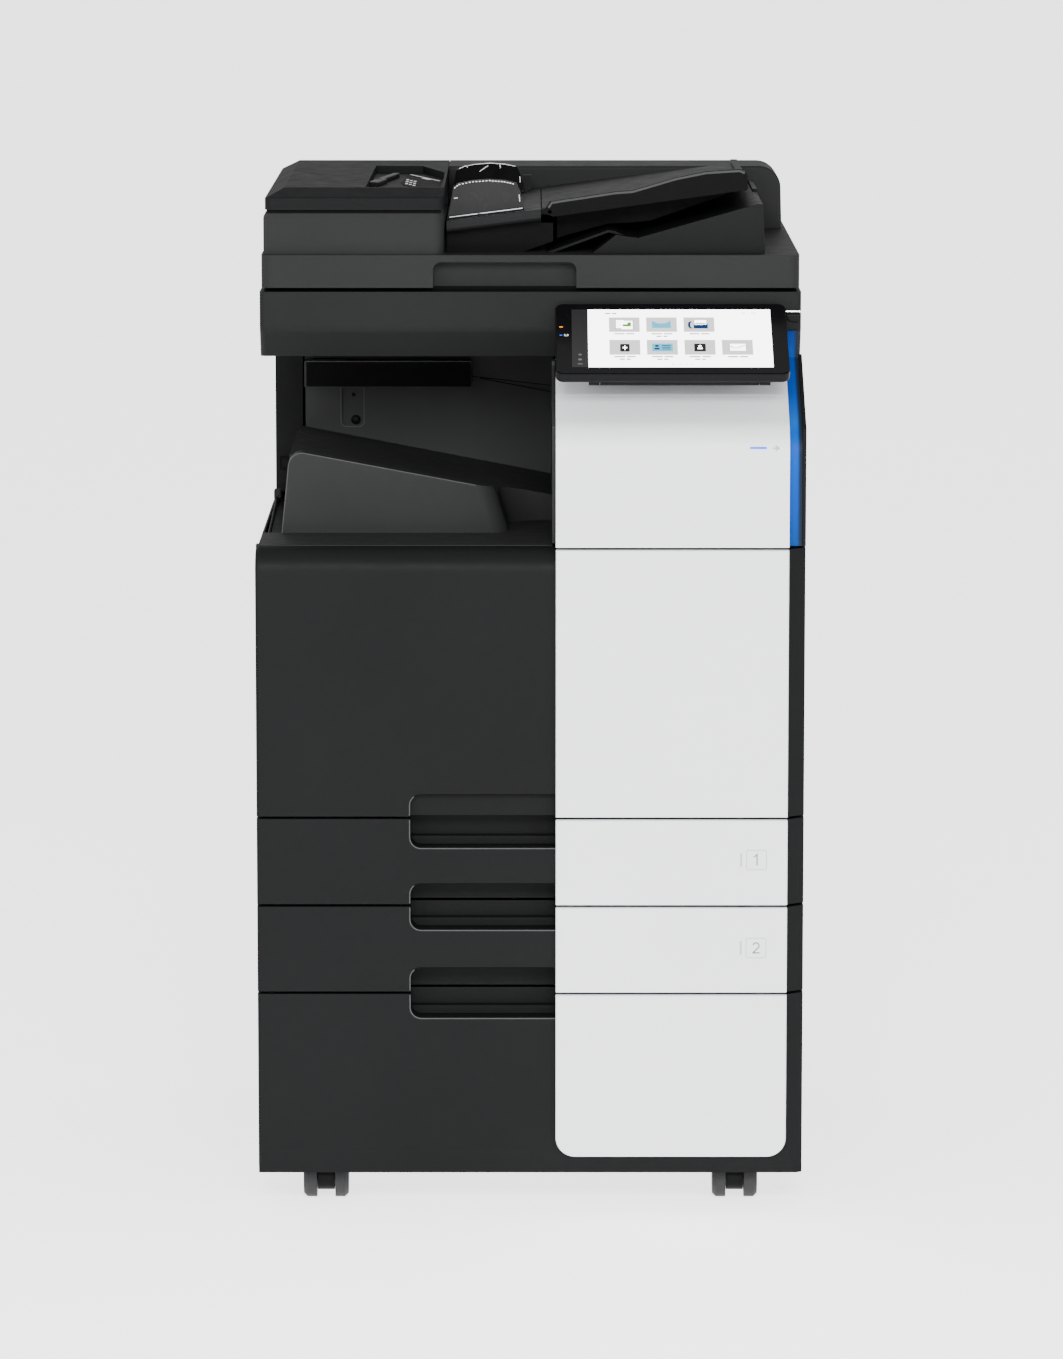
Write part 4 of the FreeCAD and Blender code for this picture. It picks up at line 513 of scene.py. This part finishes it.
class Display:
    """The lit display on the panel's glass. Its places are shares of its width, from the left, and of its
    height, from the top."""

    def __init__(self):
        low, high = box_mm("panel_glass")
        front_y = low[1] - GLASS_MARGIN * math.cos(SLOPE)
        front_z = high[2] - (HOUSING_DEPTH - GLASS_MARGIN) * math.sin(SLOPE)
        self.plane = Plane((0, front_y, front_z), (1, 0, 0), (0, math.cos(SLOPE), math.sin(SLOPE)))
        self.width, self.height = DISPLAY_RIGHT - DISPLAY_LEFT, DISPLAY_TOP - DISPLAY_BOTTOM

    def place(self, u, v):
        return (DISPLAY_LEFT + u * self.width, DISPLAY_TOP - v * self.height)

    def corners(self, u0, u1, v0, v1):
        """The area's left, right, bottom and top on the glass, in mm."""
        (left, top), (right, bottom) = self.place(u0, v0), self.place(u1, v1)
        return left, right, bottom, top

    def area(self, u0, u1, v0, v1):
        return rect(*self.corners(u0, u1, v0, v1))

    def dot(self, u, v, radius, steps=16):
        return circle(*self.place(u, v), radius, steps)

    def line(self, spots, width):
        return ribbon([self.place(u, v) for u, v in spots], width)

    def words(self, middle, v, length):
        """Two short bars where a caption stands."""
        start, end = middle - length / 2, middle + length / 2
        split = start + length * 0.55
        top, bottom = v - 0.009, v + 0.009
        return [self.area(start, split - 0.004, top, bottom), self.area(split + 0.004, end, top, bottom)]

    def show(self, name, outlines, layer, mat, rings=()):
        low = LOWEST_LAYER + LAYER_STEP * layer
        slabs(name, self.plane, outlines, low, low + FILM, mat, "panel", rings=rings)


def menu(display):
    """The display's ground, its tiles, and grey bars in place of their captions."""
    display.show("screen", [display.area(DISPLAY_STRIP, 1, 0, 1)], 0, SCREEN_WHITE)
    display.show("screen side strip", [display.area(0, DISPLAY_STRIP, 0, 1)], 0, SCREEN_STRIP)
    spots = [(row, column) for row in range(len(ROWS)) for column in range(len(COLUMNS))
             if (row, column) != NO_TILE]
    tiles = [display.area(*COLUMNS[column], *ROWS[row]) for row, column in spots]
    display.show("screen tiles", tiles, 1, SCREEN_TILE)
    captions = []
    for row, column in spots:
        middle = sum(COLUMNS[column]) / 2
        lengths = (0.105, 0.055) if (row, column) in TWO_LINE_CAPTIONS else (0.1,)
        for line, length in enumerate(lengths):
            captions += display.words(middle, ROWS[row][1] + 0.034 + 0.043 * line, length)
    heading = display.words(0.197, 0.07, 0.058)
    display.show("screen captions", captions + heading, 1, SCREEN_GREY)


def small_marks(display):
    """Page dots under the tiles, two tool icons at the upper right, and three marks on the dark strip."""
    dots = [display.dot(u, 0.953, 1.0, 12) for u in (0.502, 0.536, 0.568, 0.598)]
    display.show("screen page dots", dots[1:], 1, SCREEN_TILE)
    display.show("screen page dot", dots[:1], 1, SCREEN_GREY)
    tools = [(display.dot(u, v, 2.0), display.dot(u, v, 1.45)) for u, v in ((0.864, 0.068), (0.914, 0.062))]
    handle = display.line([(0.9205, 0.075), (0.929, 0.089)], 0.7)
    display.show("screen tool icons", [handle], 1, SCREEN_GREY, rings=tools)
    marks = [display.dot(0.04, 0.785, 1.9), display.dot(0.04, 0.869, 2.2),
             display.area(0.028, 0.052, 0.937, 0.952)]
    display.show("screen strip marks", marks, 1, SCREEN_GREY)


def tile_pictures(display):
    """A generic picture on each tile: sheets, an envelope, a fax, a key, a card, a book and a drawn line."""
    area, dot, line, show = display.area, display.dot, display.line, display.show
    sheets = [area(0.222, 0.262, 0.188, 0.33), area(0.247, 0.306, 0.2, 0.35)]
    fax_sheet, line_sheet = area(0.617, 0.676, 0.19, 0.27), area(0.788, 0.868, 0.602, 0.722)
    show("screen sheets", sheets + [fax_sheet, line_sheet], 3, SCREEN_WHITE)
    sheet_edges = [area(0.219, 0.265, 0.18, 0.34), area(0.244, 0.309, 0.192, 0.36),
                   area(0.785, 0.871, 0.597, 0.727)]
    show("screen sheet edges", sheet_edges, 2, SCREEN_GREEN)
    green_bars = [area(0.256, 0.298, 0.262, 0.3), area(0.28, 0.298, 0.228, 0.262),
                  area(0.62, 0.673, 0.24, 0.253)]
    show("screen green bars", green_bars, 4, SCREEN_GREEN)

    envelope = [display.place(u, v) for u, v in ((0.403, 0.2), (0.432, 0.245), (0.468, 0.245),
                                                 (0.497, 0.2), (0.497, 0.325), (0.403, 0.325))]
    card = area(0.4, 0.503, 0.598, 0.728)
    show("screen blue cards", [envelope, card], 2, SCREEN_SKY)
    person = [dot(0.424, 0.638, 2.3), area(0.411, 0.437, 0.672, 0.7)]
    fax_body = area(0.612, 0.683, 0.25, 0.335)
    handset = line([(0.601, 0.216), (0.591, 0.235), (0.589, 0.28), (0.592, 0.315), (0.603, 0.334)], 2.6)
    show("screen navy shapes", person + [fax_body, handset], 3, SCREEN_NAVY)
    card_lines = [area(0.45, 0.492, v, v + 0.012) for v in (0.625, 0.655, 0.685)]
    show("screen card lines", card_lines, 3, SCREEN_NAVY)

    key = round_rect(*display.corners(0.24, 0.288, 0.603, 0.735), 1.6)
    book = area(0.61, 0.668, 0.598, 0.732)
    show("screen dark squares", [key, book], 2, SCREEN_DARK)
    key_cross = [area(0.253, 0.275, 0.66, 0.676), area(0.2615, 0.2665, 0.632, 0.706)]
    reader = [dot(0.639, 0.64, 1.9), area(0.627, 0.651, 0.668, 0.69)]
    show("screen pale marks", key_cross + reader, 3, SCREEN_WHITE)
    wave = line([(0.79, 0.64), (0.803, 0.672), (0.825, 0.676), (0.848, 0.645), (0.866, 0.628)], 1.2)
    show("screen orange line", [wave], 4, SCREEN_RED)


def panel_lamps(display):
    """Two lamps and a symbol on the glass, left of the display. Their places are in mm on the glass."""
    display.show("orange lamp", [rect(32.6, 36.4, 102.9, 104.5)], 0, LAMP_ORANGE)
    display.show("blue lamp", [rect(32.8, 35.6, 84.4, 85.6)], 0, LAMP_BLUE)
    symbol = [rect(37.8, 42.6, 83.0, 84.2), rect(37.8, 39.4, 84.8, 87.2), rect(41.0, 42.6, 84.8, 87.2)]
    display.show("panel symbol", symbol, 0, PRINT_WHITE)


touch_display = Display()
menu(touch_display)
small_marks(touch_display)
tile_pictures(touch_display)
panel_lamps(touch_display)


# ------------------------------------------------------------ marks on the light plates

PRINT_THICKNESS = 0.12
BADGE_X, BADGE_HALF = 253.8, 11.6  # a tray badge's middle and half its side
MARK_Z = 868.0  # height of the lamp and the arrow on the upper door


def door_marks():
    """The status lamp and the arrow beside it."""
    door = facing_front(box_mm("upper_door")[0][1])
    lamp = round_rect(244.0, 263.0, MARK_Z - 0.8, MARK_Z + 1.5, 1.1)
    slabs("status lamp", door, [lamp], 0.0, 0.35, LAMP_BLUE, "front_door_upper", 0.1)
    shaft = ribbon([(269.2, MARK_Z), (275.4, MARK_Z)], 1.5)
    tip = ribbon([(272.6, MARK_Z + 3.2), (276.2, MARK_Z), (272.6, MARK_Z - 3.2)], 1.5)
    slabs("arrow mark", door, [shaft, tip], 0.0, PRINT_THICKNESS, PRINT_FAINT, "front_door_upper")


def badge_square(middle, inset, radius):
    reach = BADGE_HALF - inset
    return round_rect(BADGE_X - reach, BADGE_X + reach, middle - reach, middle + reach, radius)


def tray_badge(body, middle, number):
    """A tray's number on a raised field inside a thin frame, and a level mark to its left."""
    plate = facing_front(box_mm(body + "_plate")[0][1])
    frame_lines = (badge_square(middle, 0, 2.6), badge_square(middle, 0.8, 1.8))
    slabs(body + " badge frame", plate, [], 0.0, PRINT_THICKNESS, PRINT_FAINT, body,
          rings=[frame_lines])
    field = badge_square(middle, 1.9, 1.4)
    slabs(body + " badge field", plate, [field], 0.0, 0.35, LIGHT, body, 0.15)
    slabs(body + " badge number", plate, number(middle), 0.35, 0.5, PRINT_GREY, body)
    level = round_rect(235.6, 237.6, middle - 8, middle + 8, 0.9)
    slabs(body + " level mark", plate, [level], 0.0, PRINT_THICKNESS, PRINT_FAINT, body)


def one(v):
    return [ribbon([(BADGE_X - 3.0, v + 3.4), (BADGE_X + 0.6, v + 6.2), (BADGE_X + 0.6, v - 6.2)], 1.5)]


def two(v):
    bowl = arc(BADGE_X, v + 2.6, 3.4, 170, -38, 12)
    foot = ribbon([(BADGE_X - 4.1, v - 5.5), (BADGE_X + 4.1, v - 5.5)], 1.5)
    return [ribbon(bowl + [(BADGE_X - 3.6, v - 5.4)], 1.5), foot]


door_marks()
tray_badge("tray_1", 403.4, one)
tray_badge("tray_2", 302.9, two)


# ------------------------------------------------------------ stylus

def stylus():
    """A polished stylus on its rest, at the scanner's right front corner."""
    low, high = box_mm("scanner_housing")
    front, side = low[1], high[0]
    rest = [(side - 17.5, 1004.6), (side - 16.5, 999.6), (side - 13.0, 996.6), (side - 5, 996.0),
            (side - 0.5, 997.2), (side - 0.5, 1004.6)]
    slabs("stylus rest", facing_front(front), [rest], 0.0, 5.5, BLACK, "frame", 1.2)
    end = (side, front - 2.4, 1007.6)
    bar = [(0.8, -58), (1.4, -55.5), (1.45, -6), (1.4, -2), (0.8, 0.2)]
    clip = [(1.7, -3.4), (2.0, -3.0), (2.0, -1.6), (1.7, -1.2)]
    lathe("stylus", bar, end, "X", CHROME, "frame")
    lathe("stylus clip", clip, end, "X", CHROME, "frame")


stylus()


# ------------------------------------------------------------ finger recesses

RECESS_LEFT, RECESS_RIGHT, RECESS_CORNER = -135.0, 28.0, 12.0
LEDGE_Y = 39.6  # the ledge's front, behind the part's face
HIGHLIGHT_OFFSET = 0.6  # the painted edge highlight's middle line lies this far outside the recess
FRONT_Y = -328.0  # the dark front faces


def recess_floor(body, node, bottom):
    """A painted highlight along the lower edge of a finger recess in a part that slides out, and the ledge
    inside it.
    """
    low, high = box_mm(node)
    corner = (RECESS_LEFT + RECESS_CORNER, bottom + RECESS_CORNER)
    edge = [(RECESS_LEFT - HIGHLIGHT_OFFSET, high[2] - 1.0)] + arc(*corner, RECESS_CORNER + HIGHLIGHT_OFFSET, 180, 270, 8)
    edge.append((RECESS_RIGHT, bottom - HIGHLIGHT_OFFSET))
    slabs(body + " recess edge", facing_front(low[1]), [ribbon(edge, 1.3)], -0.4, 0.12, PAINTED_HIGHLIGHT, body)
    ledge = arc(*corner, RECESS_CORNER - 0.3, 180, 270, 6)
    ledge += [(RECESS_RIGHT + 9, bottom + 0.3), (RECESS_RIGHT + 9, bottom + 9.5),
              (RECESS_LEFT + 1.2, bottom + 9.5)]
    slabs(body + " recess ledge", facing_front(low[1] + LEDGE_Y), [ledge], 0.0, 14.0, DARK, body,
          1.6)


def recess_roof(body, node, top):
    """A painted highlight on the upper corner of the same recess in the part above, and a painted shadow line
    along its top.
    """
    face, seam = facing_front(FRONT_Y), box_mm(node)[0][2] + 1.0
    corner = (RECESS_LEFT + RECESS_CORNER, top - RECESS_CORNER)
    shadow = arc(*corner, RECESS_CORNER + 0.5, 128, 90, 5)[:-1] + [(RECESS_RIGHT, top + 0.5)]
    slabs(body + " recess shadow", face, [ribbon(shadow, 1.0)], -0.4, 0.1, DEEP, body)
    edge = arc(*corner, RECESS_CORNER + HIGHLIGHT_OFFSET, 128, 180, 6) + [(RECESS_LEFT - HIGHLIGHT_OFFSET, seam)]
    slabs(body + " recess upper edge", face, [ribbon(edge, 1.2)], -0.4, 0.12, PAINTED_HIGHLIGHT, body)


def side_return():
    """A strip between the lower door's rear edge and the left cover."""
    strip = rect(-307.3, -304.8, -299.2, -284.4)
    slabs("side return", facing_up(0), [strip], 458, 735, DARK, "frame", 0.6)


recess_floor("storage_drawer", "storage_drawer_front", 221.0)
recess_floor("tray_2", "tray_2_front", 322.0)
recess_floor("tray_1", "tray_1_front", 415.6)
recess_roof("tray_2", "tray_2_front", 278.4)
recess_roof("tray_1", "tray_1_front", 374.6)
recess_roof("front_door_lower", "lower_door", 476.0)
side_return()


# ------------------------------------------------------------ output bay

WALL_Y, PORT_FLOOR_Y = 145.5, 148.5  # the bay's rear wall, and the floor of the hollow in it
HOOD_Y, FLAP_Y = 104.6, 140.8
OUTPUT_WALL_Y = -190.0  # the output tray's front wall
COLUMN_Y, HINGE_Y = 254.6, 12.0  # the latch and the hinge block at the left side


def port():
    """A plate let into the bay's rear wall, with a painted highlight round its edge, a small hole and a
    button.
    """
    outer = round_rect(-225.6, -197.0, 839.6, 896.0, 7)
    inner = round_rect(-224.3, -198.3, 840.9, 894.6, 6)
    slabs("port edge", facing_front(WALL_Y), [], -0.2, 0.5, PAINTED_HIGHLIGHT, "frame",
          rings=[(outer, inner)])
    hole = circle(-210, 878.3, 2.3)
    slabs("port hole", facing_front(PORT_FLOOR_Y), [hole], 0.0, 0.15, DEEP, "frame")
    button = [(5.6, 0.4), (5.6, -1.6), (5.0, -2.0), (4.6, -1.2), (4.3, -2.6), (2.6, -3.4), (0.8, -3.6)]
    lathe("port button", button, (-207.5, PORT_FLOOR_Y + 0.1, 848.4), "Y", BLACK, "frame")


def exit_hood():
    """The hood over the paper exit: a painted highlight on its upper edge, the slot over it, and its dark
    face.
    """
    left, right = -264.5, -70.5
    hood = facing_front(HOOD_Y)
    upper_edge, slot = rect(left, right, 921.4, 922.4), rect(-256.6, -217.2, 922.5, 924.6)
    slabs("hood upper edge", hood, [upper_edge], -16.0, 0.0, PAINTED_HIGHLIGHT, "frame")
    slabs("hood slot", hood, [slot], -14.0, -0.6, DEEP, "frame")
    face = rect(left, right, 892.2, 921.0)
    slabs("hood face", hood, [face], 0.3, 0.8, DEEP, "frame", 0.2)


def exit_flap():
    """The two gaps round the flap beside the hood."""
    lines = [ribbon([(-68.5, 900.7), (26, 889.8)], 0.9), ribbon([(-60, 898.6), (26, 882.0)], 0.9)]
    slabs("flap gaps", facing_front(FLAP_Y), lines, 0.0, 0.25, DEEP, "frame")


def output_wall():
    """A painted highlight along the upper edge of the output tray's front wall."""
    top = [(-283.9, 739)] + arc(-259.3, 830.7, 15.4, 174, 80, 10) + [(-62, 809.3)]
    slabs("output wall edge", facing_front(OUTPUT_WALL_Y), [ribbon(top, 1.1)], -0.4, 0.2, PAINTED_HIGHLIGHT, "frame")


def left_column():
    """A latch's outline, a hinge block and a thin stay at the bay's left side."""
    latch = (rect(-302.2, -291.8, 777.2, 792.6), rect(-300.9, -293.1, 778.6, 791.2))
    slabs("column latch", facing_front(COLUMN_Y), [], 0.0, 0.4, DEEP, "frame",
          rings=[latch])
    block = rect(-299.0, -291.0, 772.0, 782.2)
    slabs("column hinge block", facing_front(HINGE_Y), [block], 0.0, 20.0, DARK_SOFT, "frame",
          1.0)
    stay = [(-294.6, 9, 776), (-297.2, -92, 757), (-299.0, -150, 746.0)]
    tube("column stay", stay, 2.0, DARK, "frame")


port()
exit_hood()
exit_flap()
output_wall()
left_column()


# ------------------------------------------------------------ document feeder

WELL_DEPTH = 8.5  # of the hollow in the feeder cover
LID_UNDERSIDE_Z = 1030.0
RING_HALF = 303.0  # half the width inside the lid's sides
FRONT_GUIDE_Y, REAR_GUIDE_Y = -139.5, 148.5  # the faces of the two side guides


def table_z(x, above=0.0):
    """Height of the document tray's surface at x, or of a line above it."""
    return TABLE_ZERO / MM + TABLE_SLOPE * x + above


def dashes(points, length, gap, width):
    """Short straight bars along a line through the points."""
    made = []
    for start, end in zip(points, points[1:]):
        start, end = Vector(start), Vector(end)
        reach = (end - start).length
        along = (end - start).normalized()
        count = max(1, int(reach // (length + gap)))
        for i in range(count):
            place = start + along * (i * reach / count)
            made.append(ribbon([tuple(place), tuple(place + along * length)], width))
    return made


def cover_well():
    """The release lever and the label with its marks, in the hollow of the feeder cover."""
    seat = facing_up(box_mm("feeder_cover")[1][2] - WELL_DEPTH)
    lever = [ribbon([(-183.0, -22), (-173, 40)], 13.0), ribbon([(-176.5, 30), (-158, 140)], 8.0)]
    slabs("release lever", seat, lever, 0.0, 5.5, BLACK, "lid_cover", 1.2)
    label = [(-151, 43), (-147, 0), (-104, -139), (-104, 80), (-144, 200)]
    slabs("guide label", seat, [label], 0.0, 0.5, DEEP, "lid_cover", 0.1)
    marks = [ribbon([(-142, 182), (-106, 70)], 2.6), ribbon([(-126, 120), (-117, 94)], 6.0)]
    for column, reach in enumerate((14, 11, 13)):
        left = -145.5 + column * 4.6
        for row in range(3):
            front = 18 + 34 * row - column * 14
            marks.append(rect(left, left + 3.2, front, front + reach))
    slabs("guide label marks", seat, marks, 0.5, 0.62, PRINT_WHITE, "lid_cover")


def feeder_painted_shade():
    """Painted shade: a dark line under the feeder cover, and a deep black ring round the lid's underside that
    stands in for the shade in the gap under the lid.
    """
    face = facing_front(box_mm("feeder_body")[0][1])
    # painted shadow on the feeder body's face under the cover's lip
    gap = rect(-298, -101, 1117.6, 1121.5)
    slabs("feeder shadow gap", face, [gap], -0.3, 0.2, DEEP, "lid")
    # a deep black ring standing in for the shade in the gap between lid and scanner
    outer = round_rect(-RING_HALF + 1, RING_HALF - 1, -168, 297, 10)
    inner = round_rect(-RING_HALF + 3.5, RING_HALF - 3.5, -165.5, 294.5, 8)
    slabs("lid gap shade ring", facing_up(LID_UNDERSIDE_Z), [], 0.0, 4.1, DEEP, "lid", rings=[(outer, inner)])


def guide_marks():
    """White marks on the two side guides."""
    top = [(-86.4, 1143.2), (-81.4, 1147.2), (-66, 1150.3), (-47, 1151.7), (-30, 1150.5), (-17.2, 1147.6)]
    marks = dashes(top, 1.9, 1.3, 0.9) + [ribbon([(-92, table_z(-92, 2.3)), (-9, table_z(-9, 2.3))], 0.9)]
    marks += [ribbon([(-86.8, 1131.6), (-82.6, 1132.2)], 0.8), ribbon([(-12.8, 1136), (-12, 1128)], 0.8)]
    slabs("front guide marks", facing_front(FRONT_GUIDE_Y), marks, -0.02, PRINT_THICKNESS, PRINT_WHITE,
          "front_guide")
    arch = [(-84.2, 1146.2), (-78, 1149.0), (-66, 1151.4), (-47, 1152.8), (-30, 1151.6), (-18, 1149.2)]
    ticks = [ribbon([(-60.0, 1143.0), (-50.0, 1150.0)], 0.7), ribbon([(-74, 1150), (-74.6, 1147.4)], 0.8),
             ribbon([(-36, 1151.5), (-35.4, 1147)], 0.9), ribbon([(-12.5, 1137), (-12, 1130)], 0.8)]
    slabs("rear guide marks", facing_front(REAR_GUIDE_Y), [ribbon(arch, 0.7)] + ticks, -0.02,
          PRINT_THICKNESS, PRINT_WHITE, "rear_guide")


def document_tray():
    """A painted highlight along the front lip of the document tray, and the dashes on its surface."""
    rim = facing_front(box_mm("original_tray")[0][1])
    lip = [(20.4, 1122.6), (24.4, 1128.4), (97.1, 1139.4), (115.4, 1140.6), (165, 1155.2), (199, 1162.0),
           (237.0, 1164.4), (242.6, 1161.9)]
    slabs("document tray lip highlight", rim, [ribbon(lip, 2.6)], -0.3, 0.5, LIP_HIGHLIGHT, "document_tray", 0.3)
    surface = Plane((0, 0, TABLE_ZERO / MM), (1, 0, TABLE_SLOPE), (0, 1, 0))
    scale = dashes([(92, -60), (150, 10)], 2.0, 4.4, 0.9)
    slabs("document tray scale", surface, scale, -0.02, PRINT_THICKNESS, PRINT_GREY, "document_tray")


cover_well()
feeder_painted_shade()
guide_marks()
document_tray()


# ------------------------------------------------------------ stage, lights and camera

FLOOR_HALF = 60.0
FLOOR_GLOW = 2.0  # the floor's own light, under the machine and behind it
GLOW_FADE = (-2.4, -1.0)  # Y where that light starts, and where it is full
SKY = 0.9


def floor_stage():
    corners = [(-FLOOR_HALF, -FLOOR_HALF, 0), (FLOOR_HALF, -FLOOR_HALF, 0), (FLOOR_HALF, FLOOR_HALF, 0),
               (-FLOOR_HALF, FLOOR_HALF, 0)]
    mesh = bpy.data.meshes.new("floor")
    mesh.from_pydata(corners, [], [(0, 1, 2, 3)])
    floor = bpy.data.objects.new("floor", mesh)
    bpy.context.scene.collection.objects.link(floor)
    mat, tree, body = shader("pale floor")
    cloudy = noise(tree, place_in(tree), 0.8, 2.0)
    tree.links.new(tint(tree, cloudy, (0.93, 0.93, 0.93), (0.95, 0.95, 0.95)), body.inputs["Base Color"])
    body.inputs["Roughness"].default_value = 0.9
    body.inputs["Specular IOR Level"].default_value = 0.1
    body.inputs["Emission Color"].default_value = (1, 1, 1, 1)
    along = axes(tree, place_in(tree))["Y"]
    tree.links.new(ramp(tree, along, *GLOW_FADE, 0.0, FLOOR_GLOW), body.inputs["Emission Strength"])
    mesh.materials.append(mat)


def even_sky():
    world = bpy.data.worlds.new("world")
    bpy.context.scene.world = world
    world.use_nodes = True
    backdrop = world.node_tree.nodes["Background"]
    backdrop.inputs["Color"].default_value = (1, 1, 1, 1)
    backdrop.inputs["Strength"].default_value = SKY


def area_light(name, place, target, size, power):
    data = bpy.data.lights.new(name, "AREA")
    data.shape = "RECTANGLE"
    data.size, data.size_y = size
    data.energy = power
    obj = bpy.data.objects.new(name, data)
    bpy.context.scene.collection.objects.link(obj)
    obj.location = place
    obj.rotation_euler = (Vector(target) - Vector(place)).to_track_quat("-Z", "Y").to_euler()


def front_camera():
    lens = bpy.data.cameras.new("camera")
    lens.sensor_width = 36.0
    lens.lens = 163.9
    lens.clip_end = 200
    camera = bpy.data.objects.new("camera", lens)
    bpy.context.scene.collection.objects.link(camera)
    camera.location = (0.0013, -7.173, 1.630)
    camera.rotation_euler = (math.radians(81.5), 0, 0)
    bpy.context.scene.camera = camera


floor_stage()
even_sky()
area_light("front high", (0.1, -5.0, 2.7), (0.1, 0, 0.9), (2.2, 1.2), 330)
area_light("front left", (-3.0, -5.0, 2.4), (0, 0, 0.8), (2.4, 2.6), 130)
area_light("front right", (3.0, -4.8, 1.6), (0, 0, 0.8), (2.0, 2.4), 100)
area_light("front low", (0.2, -4.6, 0.35), (0.1, 0, 0.95), (2.6, 0.6), 50)
front_camera()
